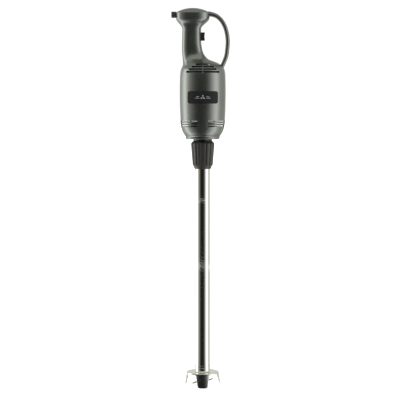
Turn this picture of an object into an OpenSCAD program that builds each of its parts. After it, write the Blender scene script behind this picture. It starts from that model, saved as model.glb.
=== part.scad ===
// Commercial immersion blender: a hand-held power unit with a detachable mixing shaft.
// Z runs along the spindle. z = 0 is the seat under the end cap, by which the tool hangs
// in its bracket: the power unit is above it and the shaft hangs below.
// The front, with the nameplate, faces -Y. The trigger and the hoop handle are on +X.

/* [Power unit] */
// Largest diameter of the motor body
body_d = 111.8; // [110:0.2:114]
// Width of the grip neck, left to right
neck_w = 46.8; // [45:0.2:48]
// Depth of the grip neck, front to back
neck_depth = 42; // [41:0.5:46]
// Width of the head above the grip
head_w = 81.6; // [80:0.2:83]
// Depth of the head, front to back
head_depth = 62; // [60:1:66]
// Wall thickness of the moulded housing
wall = 3; // [2.6:0.1:3.2]
// Width of the hoop handle's bar, seen from the front
hoop_w = 10.4; // [9:0.2:12]
// Depth of the hoop handle's bar, front to back
hoop_depth = 24; // [20:1:28]

/* [Shaft] */
// Distance from the seat down to the feet of the guard
shaft_reach = 606.3; // [500:0.1:700]
// Outer diameter of the shaft tube
tube_d = 36; // [35.6:0.1:36.2]
// Wall thickness of the shaft tube
tube_wall = 1.2; // [1:0.1:1.5]
// Diameter of the drive shaft and of the motor shaft
spindle_d = 10; // [9.6:0.1:10]
// Diameter across the guard's disc
guard_d = 80; // [78:0.5:84]
// Diameter across the guard's feet
feet_d = 90; // [86:0.5:92]
// Diameter swept by the blade
blade_d = 57; // [50:1:66]

/* [Coupling] */
// Number of flutes round the collar
flutes = 14; // [8:1:18]
// Pitch of the coupling thread
pitch = 5; // [4.8:0.1:5.2]
// Radial clearance between moving threads and bores
play = 0.3; // [0.2:0.05:0.35]

/* [Controls] */
// Travel of the trigger
trigger_travel = 4; // [2:0.5:4]
// Width of the trigger, front to back
trigger_w = 16; // [12:0.5:17]

/* [Hidden] */
$fn = 64;

eps = 0.01;
body_r = body_d / 2;
tube_r = tube_d / 2;
spindle_r = spindle_d / 2;
guard_r = guard_d / 2;
feet_r = feet_d / 2;

// Heights up the power unit
skirt_z = 10.8;
neck_z = 236;
head_flare_z = [267, 292.5];
head_chin_z = [276, 291];
crease_z = 308.5;
top_z = 317.7;
neck_x = -27;
head_x = -24.2;
cord_z = 301;
trigger_z = 248.4;

// Heights down the shaft
spigot_end_z = -34.2;
flange_top_z = -34.3;
flange_h = 5;
tube_top_z = flange_top_z - flange_h;
spigot_flange_z = [-4.2, 1];
collar_top_z = spigot_flange_z[0] - 0.3;
collar_end_z = -72.6;
feet_z = -shaft_reach;
disc_top_z = feet_z + 34.4;
hub_top_z = feet_z + 50.3;
blade_z = feet_z + 10.5;

// Motor heights
stack_z = [62, 118];
rod_circle_r = 41;
spacer_r = 2.9;
bearing_r = 13;
bearing_h = 8;
armature_r = 24.8;
air_gap = 0.6;

// Shape of the moulded body: height, centre, half width, half depth, squareness (2 is round)
SHOULDER = [
    [skirt_z, 0, body_r - 10.8, body_r - 10.8, 2],
    [16, 0, body_r - 7.6, body_r - 7.6, 2],
    [26, 0, body_r - 3.9, body_r - 3.9, 2],
    [36, 0, body_r - 2.2, body_r - 2.2, 2],
    [55, 0, body_r - 1.5, body_r - 1.5, 2],
    [75, 0, body_r - 0.6, body_r - 0.6, 2],
    [114, 0, body_r, body_r, 2],
    [153, 0, body_r - 0.7, body_r - 0.7, 2],
    [163, 0, body_r - 1.7, body_r - 1.7, 2],
    [168, 0, body_r - 2.7, body_r - 2.7, 2],
    [173, 0, body_r - 4.7, body_r - 4.7, 2],
    [178, -0.9, body_r - 8, body_r - 8.6, 2],
    [183, -4.2, body_r - 11.8, body_r - 14.6, 2.05],
    [187.5, -8.8, body_r - 16.4, body_r - 22, 2.15],
    [190, -13, body_r - 20.5, body_r - 26, 2.3],
    [193, -17, neck_w / 2 + 8.2, neck_depth / 2 + 5.5, 2.5],
    [197, -19.5, neck_w / 2 + 6, neck_depth / 2 + 3, 2.6],
    [207, -23.7, neck_w / 2 + 2.9, neck_depth / 2 + 0.5, 2.6],
    [217, -25.8, neck_w / 2 + 1.4, neck_depth / 2, 2.6],
    [neck_z, neck_x, neck_w / 2, neck_depth / 2, 2.6],
    [head_flare_z[0], neck_x + 0.3, neck_w / 2 - 0.6, neck_depth / 2, 2.6],
];
HEAD = [head_x, head_w / 2, head_depth / 2, 2.3];

// Smooth curve through stations: each station's slope is the harmonic mean of its neighbours'
function chord(p, i, c) = (p[i + 1][c] - p[i][c]) / (p[i + 1][0] - p[i][0]);
function mean_slope(a, b) = a * b <= 0 ? 0 : 2 * a * b / (a + b);
function slope(p, i, c) =
    i == 0 ? chord(p, 0, c) :
    i == len(p) - 1 ? chord(p, i - 1, c) :
    mean_slope(chord(p, i - 1, c), chord(p, i, c));
function span(p, z, i = 0) = i >= len(p) - 2 || z <= p[i + 1][0] ? i : span(p, z, i + 1);
function hermite(p, i, h, t, c) =
    (2 * t ^ 3 - 3 * t ^ 2 + 1) * p[i][c] + (t ^ 3 - 2 * t ^ 2 + t) * h * slope(p, i, c)
    + (3 * t ^ 2 - 2 * t ^ 3) * p[i + 1][c] + (t ^ 3 - t ^ 2) * h * slope(p, i + 1, c);
function curve(p, z, c) =
    let (i = span(p, z), h = p[i + 1][0] - p[i][0])
    hermite(p, i, h, min(1, max(0, (z - p[i][0]) / h)), c);

function smoothstep(a, b, z) = let (t = min(1, max(0, (z - a) / (b - a)))) t * t * (3 - 2 * t);

// The head's top is a shallow spherical cap above a rounded crease
crease_drop = 3.4;
cap_r = ((head_w / 2 - crease_drop) ^ 2 + (top_z - crease_z) ^ 2) / (2 * (top_z - crease_z));
function cap_scale(z) =
    z <= crease_z - 4 ? 1 :
    z <= crease_z ? 1 - crease_drop / (head_w / 2) * ((z - crease_z + 4) / 4) ^ 3 :
    sqrt(max(0, cap_r ^ 2 - (cap_r - (top_z - z)) ^ 2)) / (head_w / 2);

// Section of the moulding at height z: centre, half width, half depth, squareness
function section(z) =
    let (
        t = smoothstep(head_flare_z[0], head_flare_z[1], z),
        k = cap_scale(z),
        low = [for (c = [1:4]) curve(SHOULDER, z, c)],
        chin = smoothstep(head_chin_z[0], head_chin_z[1], z),
        s = [for (c = [0:3]) let (f = c == 2 ? chin : t) low[c] * (1 - f) + HEAD[c] * f]
    )
    [s[0], s[1] * k, s[2] * k, s[3]];

// The hollow keeps one wall inside every section within a wall's height of it
function left(s) = s[0] - s[1];
function right(s) = s[0] + s[1];
function hollow_section(z) =
    let (
        near = [for (dz = [-wall, 0, wall]) section(min(top_z - eps, max(skirt_z, z + dz)))],
        l = max([for (s = near) left(s)]) + wall,
        r = min([for (s = near) right(s)]) - wall,
        d = min([for (s = near) s[2]]) - wall
    )
    [(l + r) / 2, (r - l) / 2, d, near[1][3]];

function signed_pow(v, e) = sign(v) * abs(v) ^ e;
function section_ring(s, z, n) = [
    for (i = [0:n - 1])
        let (a = 360 * i / n, e = 2 / s[3])
        [s[0] + s[1] * signed_pow(cos(a), e), s[2] * signed_pow(sin(a), e), z]
];

// Closed solid through rings that all have the same number of points
module skin(rings) {
    n = len(rings[0]);
    last = len(rings) - 1;
    points = [for (ring = rings) each ring];
    sides = [
        for (k = [0:last - 1], i = [0:n - 1])
            let (a = k * n + i, b = k * n + (i + 1) % n)
            each [[a, a + n, b], [b, a + n, b + n]]
    ];
    ends = [[for (i = [0:n - 1]) i], [for (i = [n - 1:-1:0]) last * n + i]];
    polyhedron(points, concat(sides, ends));
}

// Rings of points round a path, for wires and springs
function unit(v) = v / norm(v);
function tangent(path, i) = unit(path[min(i + 1, len(path) - 1)] - path[max(i - 1, 0)]);
function round_ring(p, t, r, sides) =
    let (
        aid = abs(t[2]) < 0.9 ? [0, 0, 1] : [1, 0, 0],
        u = unit(cross(t, aid)),
        v = cross(t, u)
    )
    [for (i = [0:sides - 1]) p + r * cos(360 * i / sides) * u + r * sin(360 * i / sides) * v];
module wire(path, r, sides = 8) {
    skin([for (i = [0:len(path) - 1]) round_ring(path[i], tangent(path, i), r, sides)]);
}

// Helical wire along X from x1 to x2
module coil_spring(coil_r, wire_r, x1, x2, turns, per_turn = 10) {
    steps = turns * per_turn;
    path = [
        for (i = [0:steps])
            let (a = 360 * i / per_turn)
            [x1 + (x2 - x1) * i / steps, coil_r * cos(a), coil_r * sin(a)]
    ];
    wire(path, wire_r, 6);
}

// Thread ridge: a tapered bar wound along a right-hand helix
module thread_ridge(root_r, crest_r, root_w, crest_w, z1, turns, per_turn = 24) {
    rings = [
        for (i = [0:turns * per_turn])
            let (a = 360 * i / per_turn, z = z1 + pitch * i / per_turn, c = cos(a), s = sin(a))
            [
                [root_r * c, root_r * s, z - root_w / 2],
                [crest_r * c, crest_r * s, z - crest_w / 2],
                [crest_r * c, crest_r * s, z + crest_w / 2],
                [root_r * c, root_r * s, z + root_w / 2],
            ]
    ];
    skin(crest_r < root_r ? rings : [for (ring = rings) [ring[3], ring[2], ring[1], ring[0]]]);
}

function arc(cx, cy, r, a1, a2, n = 8) = [
    for (i = [0:n]) let (a = a1 + (a2 - a1) * i / n) [cx + r * cos(a), cy + r * sin(a)]
];

module ring(r1, r2, z1, z2) {
    translate([0, 0, z1])
        rotate_extrude()
            translate([r1, 0]) square([r2 - r1, z2 - z1]);
}

module sector(r1, r2, a1, a2, z1, z2) {
    translate([0, 0, z1])
        rotate([0, 0, a1])
            rotate_extrude(angle = a2 - a1)
                translate([r1, 0]) square([r2 - r1, z2 - z1]);
}

module box(low, high) {
    translate(low) cube(high - low);
}

module around(count, r, start = 0) {
    for (i = [0:count - 1])
        rotate([0, 0, start + 360 * i / count]) translate([r, 0, 0]) children();
}

// ---------------------------------------------------------------- moulded housing

ring_heights = concat(
    [for (s = SHOULDER) s[0]],
    [13, 21, 134, 180.5, 185.5, 202, 253],
    [for (z = [275:4:295]) z],
    [300, crease_z - 4, crease_z - 1.8, crease_z - 0.7, crease_z],
    [for (k = [0.35, 0.65, 0.87, 0.985]) crease_z + (top_z - crease_z) * k]
);
function sorted(v) =
    len(v) <= 1 ? v :
    let (p = v[0])
    concat(sorted([for (x = v) if (x < p) x]), [p], sorted([for (x = v) if (x > p) x]));

housing_sides = 42;
hollow_sides = 30;

module housing_outside() {
    skin([for (z = sorted(ring_heights)) section_ring(section(z), z, housing_sides)]);
}

mouth_r = 40;
function has_room(s) = min(s[1], s[2]) > wall;
module housing_hollow() {
    heights = [for (z = sorted(ring_heights)) if (z > 13 && has_room(hollow_section(z))) z];
    mouth = [0, mouth_r, mouth_r, 2];
    skin(concat(
        [for (z = [skirt_z - 1, 13]) section_ring(mouth, z, hollow_sides)],
        [for (z = heights) section_ring(hollow_section(z), z, hollow_sides)]
    ));
}

// Air slots: four rows on the shoulder, three rows round the lower body
SHOULDER_SLOTS = [[162.4, 40.3], [168.8, 33.3], [174.6, 27], [180.2, 17]];
slot_h = 4;
slot_rib = 2.4;
BODY_SLOTS = [31.7, 37.5, 43.3];
body_slot_h = 2.4;
body_slot_from = 14;
body_slot_to = 82;

module shoulder_slots(side) {
    for (row = SHOULDER_SLOTS, end = [-1, 1])
        translate([end * (slot_rib / 2 + row[1]) / 2, side * body_r * 0.78, row[0]])
            cube([row[1] - slot_rib / 2, body_r * 0.6, slot_h], center = true);
}

module body_slots(side) {
    for (z = BODY_SLOTS, end = [-1, 1])
        sector(
            body_r - 12, body_r + 4,
            side * 90 + (end > 0 ? body_slot_from : -body_slot_to),
            side * 90 + (end > 0 ? body_slot_to : -body_slot_from),
            z - body_slot_h / 2, z + body_slot_h / 2,
            $fn = 40
        );
}

// Screws that hold the two halves together, at x and z
SCREWS = [[43, 24.5], [-43, 24.5], [47, 140], [-47, 140], [-41.7, 212.3], [-42, 276.8], [-6, 285.5]];
screw_r = 1.7;
screw_head_r = 3.3;
screw_head_y = 8;
front_boss_r = 3.8;
rear_boss_r = 4.4;

module along_y(x, z, y1, y2, r) {
    translate([x, y1, z]) rotate([-90, 0, 0]) cylinder(r = r, h = y2 - y1, $fn = 20);
}

// Bore for the cord gland, from x1 to x2
module along_x(x1, x2, r) {
    translate([x1, 0, cord_z]) rotate([0, 90, 0]) cylinder(r = r, h = x2 - x1, $fn = 32);
}

trigger_gap = 0.35;
trigger_h = 20;
gland_r = 7.8;
gland_neck_r = 6.2;
gland_flange_x = [-60, -57];

// One half of the clamshell: side is -1 at the front and 1 at the rear
module housing_half(side) {
    reach = body_r + 5;
    resize([0, 0, 0]) difference() {
        intersection() {
            union() {
                difference() {
                    housing_outside();
                    housing_hollow();
                }
                intersection() {
                    housing_outside();
                    for (s = SCREWS)
                        along_y(s[0], s[1], -reach, reach, side > 0 ? rear_boss_r : front_boss_r);
                }
            }
            translate([0, side * reach / 2, top_z / 2]) cube([4 * reach, reach, 2 * top_z], center = true);
        }
        hoop_bar();
        shoulder_slots(side);
        body_slots(side);
        box(
            [-14, -trigger_w / 2 - trigger_gap, trigger_z - trigger_h / 2 - trigger_gap],
            [10, trigger_w / 2 + trigger_gap, trigger_z + trigger_h / 2 + trigger_gap]
        );
        along_x(-80, -50, gland_neck_r + 0.05);
        along_x(gland_flange_x[0] - 0.05, -45, gland_r + 0.05);
        for (s = SCREWS) {
            along_y(s[0], s[1], -screw_head_y - 1, reach, screw_r + 0.05);
            along_y(s[0], s[1], screw_head_y, reach, screw_head_r + 0.1);
        }
    }
}

module front_housing() {
    color("#4b4c4e") housing_half(-1);
}

module rear_housing() {
    color("#4b4c4e") housing_half(1);
}

// The hoop's bar follows a smooth curve through these points, x and z from head to shoulder
HOOP = [
    [12.9, 302.3], [22, 301.2], [35, 296], [47.4, 283], [56, 264], [60, 240], [59, 219],
    [55.8, 199], [45, 173],
];
hoop_root_w = 13;
hoop_steps = 4;

// Catmull-Rom point between HOOP[i] and HOOP[i + 1]
function hoop_point(i, t) =
    let (
        n = len(HOOP) - 1,
        a = HOOP[max(0, i - 1)], b = HOOP[i], c = HOOP[min(n, i + 1)], d = HOOP[min(n, i + 2)]
    )
    0.5 * (2 * b + (c - a) * t + (2 * a - 5 * b + 4 * c - d) * t ^ 2 + (3 * b - a - 3 * c + d) * t ^ 3);
HOOP_PATH = [
    for (i = [0:len(HOOP) - 2], k = [0:hoop_steps - 1]) hoop_point(i, k / hoop_steps),
    HOOP[len(HOOP) - 1],
];

// D-shaped section: u runs outwards from the hoop's centre, v front to back
function hoop_section(w) = [
    for (a = [0:20:340])
        let (c = signed_pow(cos(a), 0.75), s = signed_pow(sin(a), 0.75))
        [(c > 0 ? w * 0.56 : w * 0.44) * c, -hoop_depth / 2 * s]
];
module hoop_bar() {
    n = len(HOOP_PATH) - 1;
    skin([
        for (i = [0:n])
            let (
                t = unit(HOOP_PATH[min(n, i + 1)] - HOOP_PATH[max(0, i - 1)]),
                out = [-t[1], t[0]],
                w = hoop_w + (hoop_root_w - hoop_w) * max(0, 1 - i / (2.6 * hoop_steps)) ^ 1.5
            )
            [for (q = hoop_section(w))
                [HOOP_PATH[i][0] + q[0] * out[0], q[1], HOOP_PATH[i][1] + q[0] * out[1]]]
    ]);
}

module hoop_handle() {
    color("#414244") hoop_bar();
}

module nameplate() {
    plate_w = 73.2;
    plate_h = 29.8;
    corner = 5;
    thick = 0.6;
    middle_z = 101.2;
    color("#1c1c1d") intersection() {
        ring(body_r + 0.05, body_r + 0.05 + thick, middle_z - plate_h, middle_z + plate_h);
        translate([0, 0, middle_z]) rotate([90, 0, 0]) linear_extrude(body_r + 5) union() {
            square([plate_w, plate_h - 2 * corner], center = true);
            square([plate_w - 2 * corner, plate_h], center = true);
            for (x = [-1, 1], z = [-1, 1])
                translate([x * (plate_w / 2 - corner), z * (plate_h / 2 - corner)]) circle(corner);
        }
    }
}

cord_bore_r = 4.2;
gland_tip_x = -76.1;
module cord_gland() {
    rib = 2.2;
    wall_x = -65.1;
    groove_r = gland_r - 0.7;
    ribs = 5;
    flange = gland_flange_x - [gland_tip_x, gland_tip_x];
    color("#1f1f20") translate([gland_tip_x, 0, cord_z]) rotate([0, 90, 0]) rotate_extrude()
        polygon(concat(
            [[cord_bore_r, 0]],
            [for (i = [0:ribs - 1]) each [
                [gland_r - 0.3, i * rib], [gland_r, i * rib + 0.4],
                [gland_r, i * rib + 1.4], [groove_r, i * rib + 1.6], [groove_r, i * rib + rib - 0.2],
            ]],
            [
                [gland_r, wall_x - gland_tip_x],
                [gland_neck_r, wall_x - gland_tip_x], [gland_neck_r, flange[0]],
                [gland_r, flange[0]], [gland_r, flange[1]], [cord_bore_r, flange[1]],
            ]
        ));
}

module cord_clamp() {
    color("#303133") difference() {
        box([-54, -11, cord_z - 6], [-46, 11, cord_z + 6]);
        translate([-60, 0, cord_z]) rotate([0, 90, 0]) cylinder(r = 4, h = 20);
        for (y = [-8, 8]) translate([-50, y, cord_z - 7]) cylinder(r = 1.5, h = 14);
    }
}

module housing_screws() {
    color("#8f9194") for (s = SCREWS) {
        along_y(s[0], s[1], -screw_head_y, screw_head_y, screw_r);
        difference() {
            along_y(s[0], s[1], screw_head_y, screw_head_y + 2.4, screw_head_r);
            for (turn = [0, 90])
                translate([s[0], screw_head_y + 2.4, s[1]]) rotate([0, turn, 0])
                    cube([4, 2.4, 0.9], center = true);
        }
    }
}

// ---------------------------------------------------------------- end cap and spigot

spigot_bore_r = 13.5;
spigot_flange_r = 23;
pilot_r = 18;
cap_flange_z = [18, 20];
module end_cap() {
    cap_bore_r = 8;
    seat_r = 35.2;
    rim_r = 41.6;
    lip_r = body_r - 11.6;
    flange_r = 43.8;
    recess_r = spigot_flange_r + 0.2;
    color("#2b2c2e") difference() {
        rotate_extrude() polygon(concat(
            [[pilot_r, 6], [pilot_r, spigot_flange_z[1]], [recess_r, spigot_flange_z[1]]],
            [[recess_r, 0], [seat_r, 0]],
            arc(seat_r + 0.4, 6, 6, -70, 0, 8),
            [[rim_r, 6.4], [lip_r, skirt_z - 1.2], [lip_r - 0.8, skirt_z], [mouth_r - 0.2, skirt_z]],
            [[mouth_r - 0.2, cap_flange_z[0]], [flange_r, cap_flange_z[0]]],
            [[flange_r, cap_flange_z[1]], [bearing_r, cap_flange_z[1]]],
            [[bearing_r, 8], [cap_bore_r, 8], [cap_bore_r, 6]]
        ));
        around(4, rod_circle_r, 45) translate([0, 0, cap_flange_z[0]]) cylinder(r = 2, h = 6);
        around(8, 27, 22.5) translate([0, 0, 10]) cylinder(r = 7, h = 20);
    }
}

thread_root_r = 19.8;
thread_crest_r = 21.3;
ridge_root_w = 3;
ridge_crest_w = 1.6;
ridge_start_z = -31.5;
module threaded_spigot() {
    color("#121213") union() {
        rotate_extrude() polygon([
            [spigot_bore_r, spigot_end_z], [thread_root_r - 0.6, spigot_end_z],
            [thread_root_r, spigot_end_z + 0.6], [thread_root_r, spigot_flange_z[0]],
            [spigot_flange_r, spigot_flange_z[0]], [spigot_flange_r, spigot_flange_z[1]],
            [pilot_r, spigot_flange_z[1]], [pilot_r, 5.9], [spigot_bore_r, 5.9],
        ]);
        thread_ridge(thread_root_r - 0.35, thread_crest_r, ridge_root_w, ridge_crest_w, ridge_start_z, 4);
    }
}

// ---------------------------------------------------------------- motor

module stator_stack() {
    color("#8d8f92") difference() {
        ring(armature_r + air_gap, 45, stack_z[0], stack_z[1]);
        for (a = [60, 240]) sector(armature_r, 38.4, a, a + 60, stack_z[0] - 1, stack_z[1] + 1);
        around(4, rod_circle_r, 45) translate([0, 0, stack_z[0] - 1]) cylinder(r = 2, h = 60);
    }
}

// A coil wound round one pole, open in the middle where the pole passes through it
module field_coil(turn) {
    coil_r = [27, 38];
    end_h = 12;
    slot = [62, 86];
    rotate([0, 0, turn]) difference() {
        sector(coil_r[0], coil_r[1], -slot[1], slot[1], stack_z[0] - end_h, stack_z[1] + end_h);
        sector(coil_r[0] - 1, coil_r[1] + 1, -slot[0], slot[0], stack_z[0], stack_z[1]);
    }
}

module left_field_coil() {
    color("#b5692c") field_coil(180);
}

module right_field_coil() {
    color("#b5692c") field_coil(0);
}

bracket_z = 150;
bracket_h = 4;
module motor_rods() {
    color("#9a9c9f") around(4, rod_circle_r, 45) {
        translate([0, 0, cap_flange_z[0]]) cylinder(r = 2, h = bracket_z + bracket_h - cap_flange_z[0]);
        translate([0, 0, bracket_z + bracket_h]) cylinder(r = 4, h = 3.2, $fn = 6);
    }
}

module stator_spacers() {
    color("#a7a9ac") around(4, rod_circle_r, 45) {
        ring(2, spacer_r, cap_flange_z[1], stack_z[0]);
        ring(2, spacer_r, stack_z[1], bracket_z);
    }
}

module upper_bracket() {
    color("#9b9da0") difference() {
        union() {
            ring(6, 46, bracket_z, bracket_z + bracket_h);
            ring(6, 16.5, bracket_z, 165);
        }
        translate([0, 0, 156]) cylinder(r = bearing_r, h = 20);
        around(4, rod_circle_r, 45) translate([0, 0, bracket_z - 1]) cylinder(r = 2, h = 10);
        around(8, 30, 0) translate([0, 0, bracket_z - 1]) cylinder(r = 7.5, h = 10);
    }
}

brush_z = 140;
module both_brushes() {
    for (a = [90, 270]) rotate([0, 0, a]) children();
}

module brush_holders() {
    color("#b89a4a") both_brushes() {
        difference() {
            box([17, -5, brush_z - 6], [38, 5, brush_z + 6]);
            box([16, -3.1, brush_z - 4.1], [36.5, 3.1, brush_z + 4.1]);
        }
        box([17, -5, brush_z + 6], [21, 5, bracket_z]);
    }
}

module carbon_brushes() {
    color("#2a2a2b") both_brushes() box([14.15, -3, brush_z - 4], [27, 3, brush_z + 4]);
}

module brush_springs() {
    color("#a9abad") both_brushes()
        translate([0, 0, brush_z]) coil_spring(2.3, 0.4, 27.5, 36, 4, 8);
}

module fan_shroud() {
    color("#3a3b3d") difference() {
        ring(28, 46.5, 46, 48.5);
        around(4, rod_circle_r, 45) translate([0, 0, 45]) cylinder(r = spacer_r, h = 5);
    }
}

// Two rings on the upper bracket, behind the shoulder slots, with room for the rods' nuts
module dust_shield() {
    foot_z = bracket_z + bracket_h;
    color("#3a3b3d") difference() {
        union() {
            ring(34.2, 40.8, foot_z, foot_z + 1.2);
            ring(34.2, 35.4, foot_z, 177.5);
            ring(39.6, 40.8, foot_z, 165.5);
        }
        around(4, rod_circle_r, 45) translate([0, 0, foot_z - 1]) cylinder(r = 4.4, h = 4.8);
    }
}

// Ball bearing with its rings, shield and balls as one closed unit
module bearing(z) {
    rotate_extrude() polygon([
        [spindle_r, z], [7.6, z], [7.6, z + 0.4], [10.6, z + 0.4], [10.6, z], [bearing_r, z],
        [bearing_r, z + bearing_h], [10.6, z + bearing_h], [10.6, z + bearing_h - 0.4],
        [7.6, z + bearing_h - 0.4], [7.6, z + bearing_h], [spindle_r, z + bearing_h],
    ]);
}

bearing_play = 0.03;
module lower_bearing() {
    color("#b9bbbe") difference() {
        bearing(8);
        cylinder(r = spindle_r + bearing_play, h = 40);
    }
}

module upper_bearing() {
    color("#b9bbbe") difference() {
        bearing(156);
        translate([0, 0, 150]) cylinder(r = spindle_r + bearing_play, h = 20);
    }
}

module control_board() {
    board_z = 174;
    color("#2f5d3a") {
        translate([-4, 0, board_z]) cylinder(r = 28, h = 1.6);
        around(3, 23, 30) translate([0, 0, bracket_z + bracket_h])
            cylinder(r = 2.4, h = board_z - bracket_z - bracket_h);
        box([-28, -9, board_z + 1.6], [-8, 9, board_z + 9]);
        box([-2, -12, board_z + 1.6], [8, -4, board_z + 7]);
        translate([6, 7, board_z + 1.6]) cylinder(r = 4, h = 5);
    }
}

module suppression_capacitor() {
    color("#d8c24a") translate([-25, 0, 196]) cylinder(r = 8, h = 24);
}

module terminal_block() {
    color("#d9d6cc") difference() {
        box([-36, -8, 290], [-16, 8, 301]);
        for (x = [-32, -26, -20]) translate([x, 0, 295]) cylinder(r = 1.8, h = 10);
    }
}

switch_face_x = -18;
plunger_r = 2;
module switch_body() {
    color("#26272a") difference() {
        box([-40, -8, trigger_z - 19], [switch_face_x, 8, trigger_z + 19]);
        translate([-31, 0, trigger_z]) rotate([0, 90, 0]) cylinder(r = plunger_r + play, h = 20);
    }
}

// Insulated leads from the terminal block past the switch to the control board
module internal_leads() {
    lead_r = 1.1;
    color("#7a2d2a") for (y = [-10.5, 10.5])
        wire([
            [-26, y * 0.97, 291], [-26, y, 288], [-29, y, 280], [-30, y, 262], [-30, y, 236],
            [-30, y, 212], [-27, y, 196], [-22, y, 186],
        ], lead_r);
}

// ---------------------------------------------------------------- rotor

module motor_shaft() {
    color("#c3c5c8") translate([0, 0, -17]) cylinder(r = spindle_r, h = 185);
}

module armature_stack() {
    color("#85878a") difference() {
        ring(spindle_r, armature_r, stack_z[0], stack_z[1]);
        around(12, 21) translate([0, 0, stack_z[0] - 1]) cylinder(r = 2.4, h = 60);
    }
}

module armature_windings() {
    end_h = 11;
    color("#a85a24") {
        for (z = [stack_z[0] - end_h, stack_z[1]]) ring(7, 24, z, z + end_h);
        around(12, 21) translate([0, 0, stack_z[0] - 1]) cylinder(r = 2.3, h = stack_z[1] - stack_z[0] + 2);
    }
}

module commutator() {
    color("#b06a35") difference() {
        union() {
            ring(spindle_r, 14, 132, 147);
            ring(spindle_r, 16, 130, 132);
        }
        around(16, 14) translate([0, 0, 133]) cylinder(r = 0.35, h = 20, $fn = 16);
    }
}

module cooling_fan() {
    fan_r = 37;
    fan_z = [25, 41];
    hub_r = 13;
    color("#34363a") {
        ring(spindle_r, hub_r, fan_z[0], fan_z[1]);
        ring(hub_r, fan_r, fan_z[0], fan_z[0] + 2);
        around(11, hub_r - 1) rotate([0, 0, 25])
            box([0, -0.9, fan_z[0] + 1], [fan_r - hub_r - 1.5, 0.9, fan_z[1]]);
    }
}

coupling_z = [-31, -9];
socket_r = 7;
module drive_coupling() {
    color("#55575b") difference() {
        translate([0, 0, coupling_z[0]]) cylinder(r = 12.5, h = coupling_z[1] - coupling_z[0]);
        translate([0, 0, coupling_z[0] - 1]) cylinder(r = socket_r, h = 14, $fn = 6);
        translate([0, 0, -17]) cylinder(r = spindle_r, h = 20);
    }
}

// ---------------------------------------------------------------- trigger

trigger_flange_x = [-11, -9];
module trigger() {
    tip_x = 5.4;
    hollow = 1;
    corner = 2;
    half_h = trigger_h / 2;
    color("#17171a") union() {
        translate([0, trigger_w / 2, trigger_z]) rotate([90, 0, 0]) linear_extrude(trigger_w)
            polygon(concat(
                [[trigger_flange_x[0], -half_h]],
                arc(tip_x - corner, -half_h + corner, corner, -90, 0, 6),
                [for (t = [-0.6:0.2:0.6]) [tip_x - hollow * (1 - (t / 0.8) ^ 2), t * half_h]],
                arc(tip_x - corner, half_h - corner, corner, 0, 90, 6),
                [[trigger_flange_x[0], half_h]]
            ));
        box(
            [trigger_flange_x[0], -trigger_w / 2 - 1.6, trigger_z - half_h - 3],
            [trigger_flange_x[1], trigger_w / 2 + 1.6, trigger_z + half_h + 3]
        );
    }
}

module switch_plunger() {
    color("#c9c9c4") translate([-22, 0, trigger_z]) rotate([0, 90, 0])
        cylinder(r = plunger_r, h = 22 + trigger_flange_x[0]);
}

module trigger_spring() {
    color("#b4b6b8") translate([0, 0, trigger_z])
        coil_spring(3.6, 0.35, switch_face_x + 0.4, trigger_flange_x[0] - 0.4, 3);
}

// ---------------------------------------------------------------- shaft assembly

module shaft_tube() {
    groove_z = -155;
    groove = 0.3;
    color("#c9cccf") rotate_extrude() polygon([
        [tube_r - tube_wall, hub_top_z], [tube_r, hub_top_z],
        [tube_r, groove_z - 0.5], [tube_r - groove, groove_z - 0.3],
        [tube_r - groove, groove_z + 0.3], [tube_r, groove_z + 0.5],
        [tube_r, tube_top_z], [tube_r - tube_wall, tube_top_z],
    ]);
}

plug_r = tube_r - tube_wall;
module shaft_head() {
    flange_r = 20.5;
    throat_r = 8;
    color("#b3b6b9") rotate_extrude() polygon([
        [throat_r, flange_top_z], [flange_r, flange_top_z], [flange_r, tube_top_z],
        [plug_r, tube_top_z], [plug_r, -56], [bearing_r, -56], [bearing_r, -42], [throat_r, -42],
    ]);
}

module head_bearing() {
    color("#b9bbbe") difference() {
        bearing(-50);
        translate([0, 0, -60]) cylinder(r = spindle_r + bearing_play, h = 40);
    }
}

module bearing_circlip() {
    color("#7d8083") difference() {
        ring(10.8, bearing_r, -51.6, -50.2);
        box([0, -2, -53], [15, 2, -49]);
    }
}

module mid_bush() {
    color("#a9793a") ring(spindle_r + 0.05, plug_r, -163, -147);
}

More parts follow.
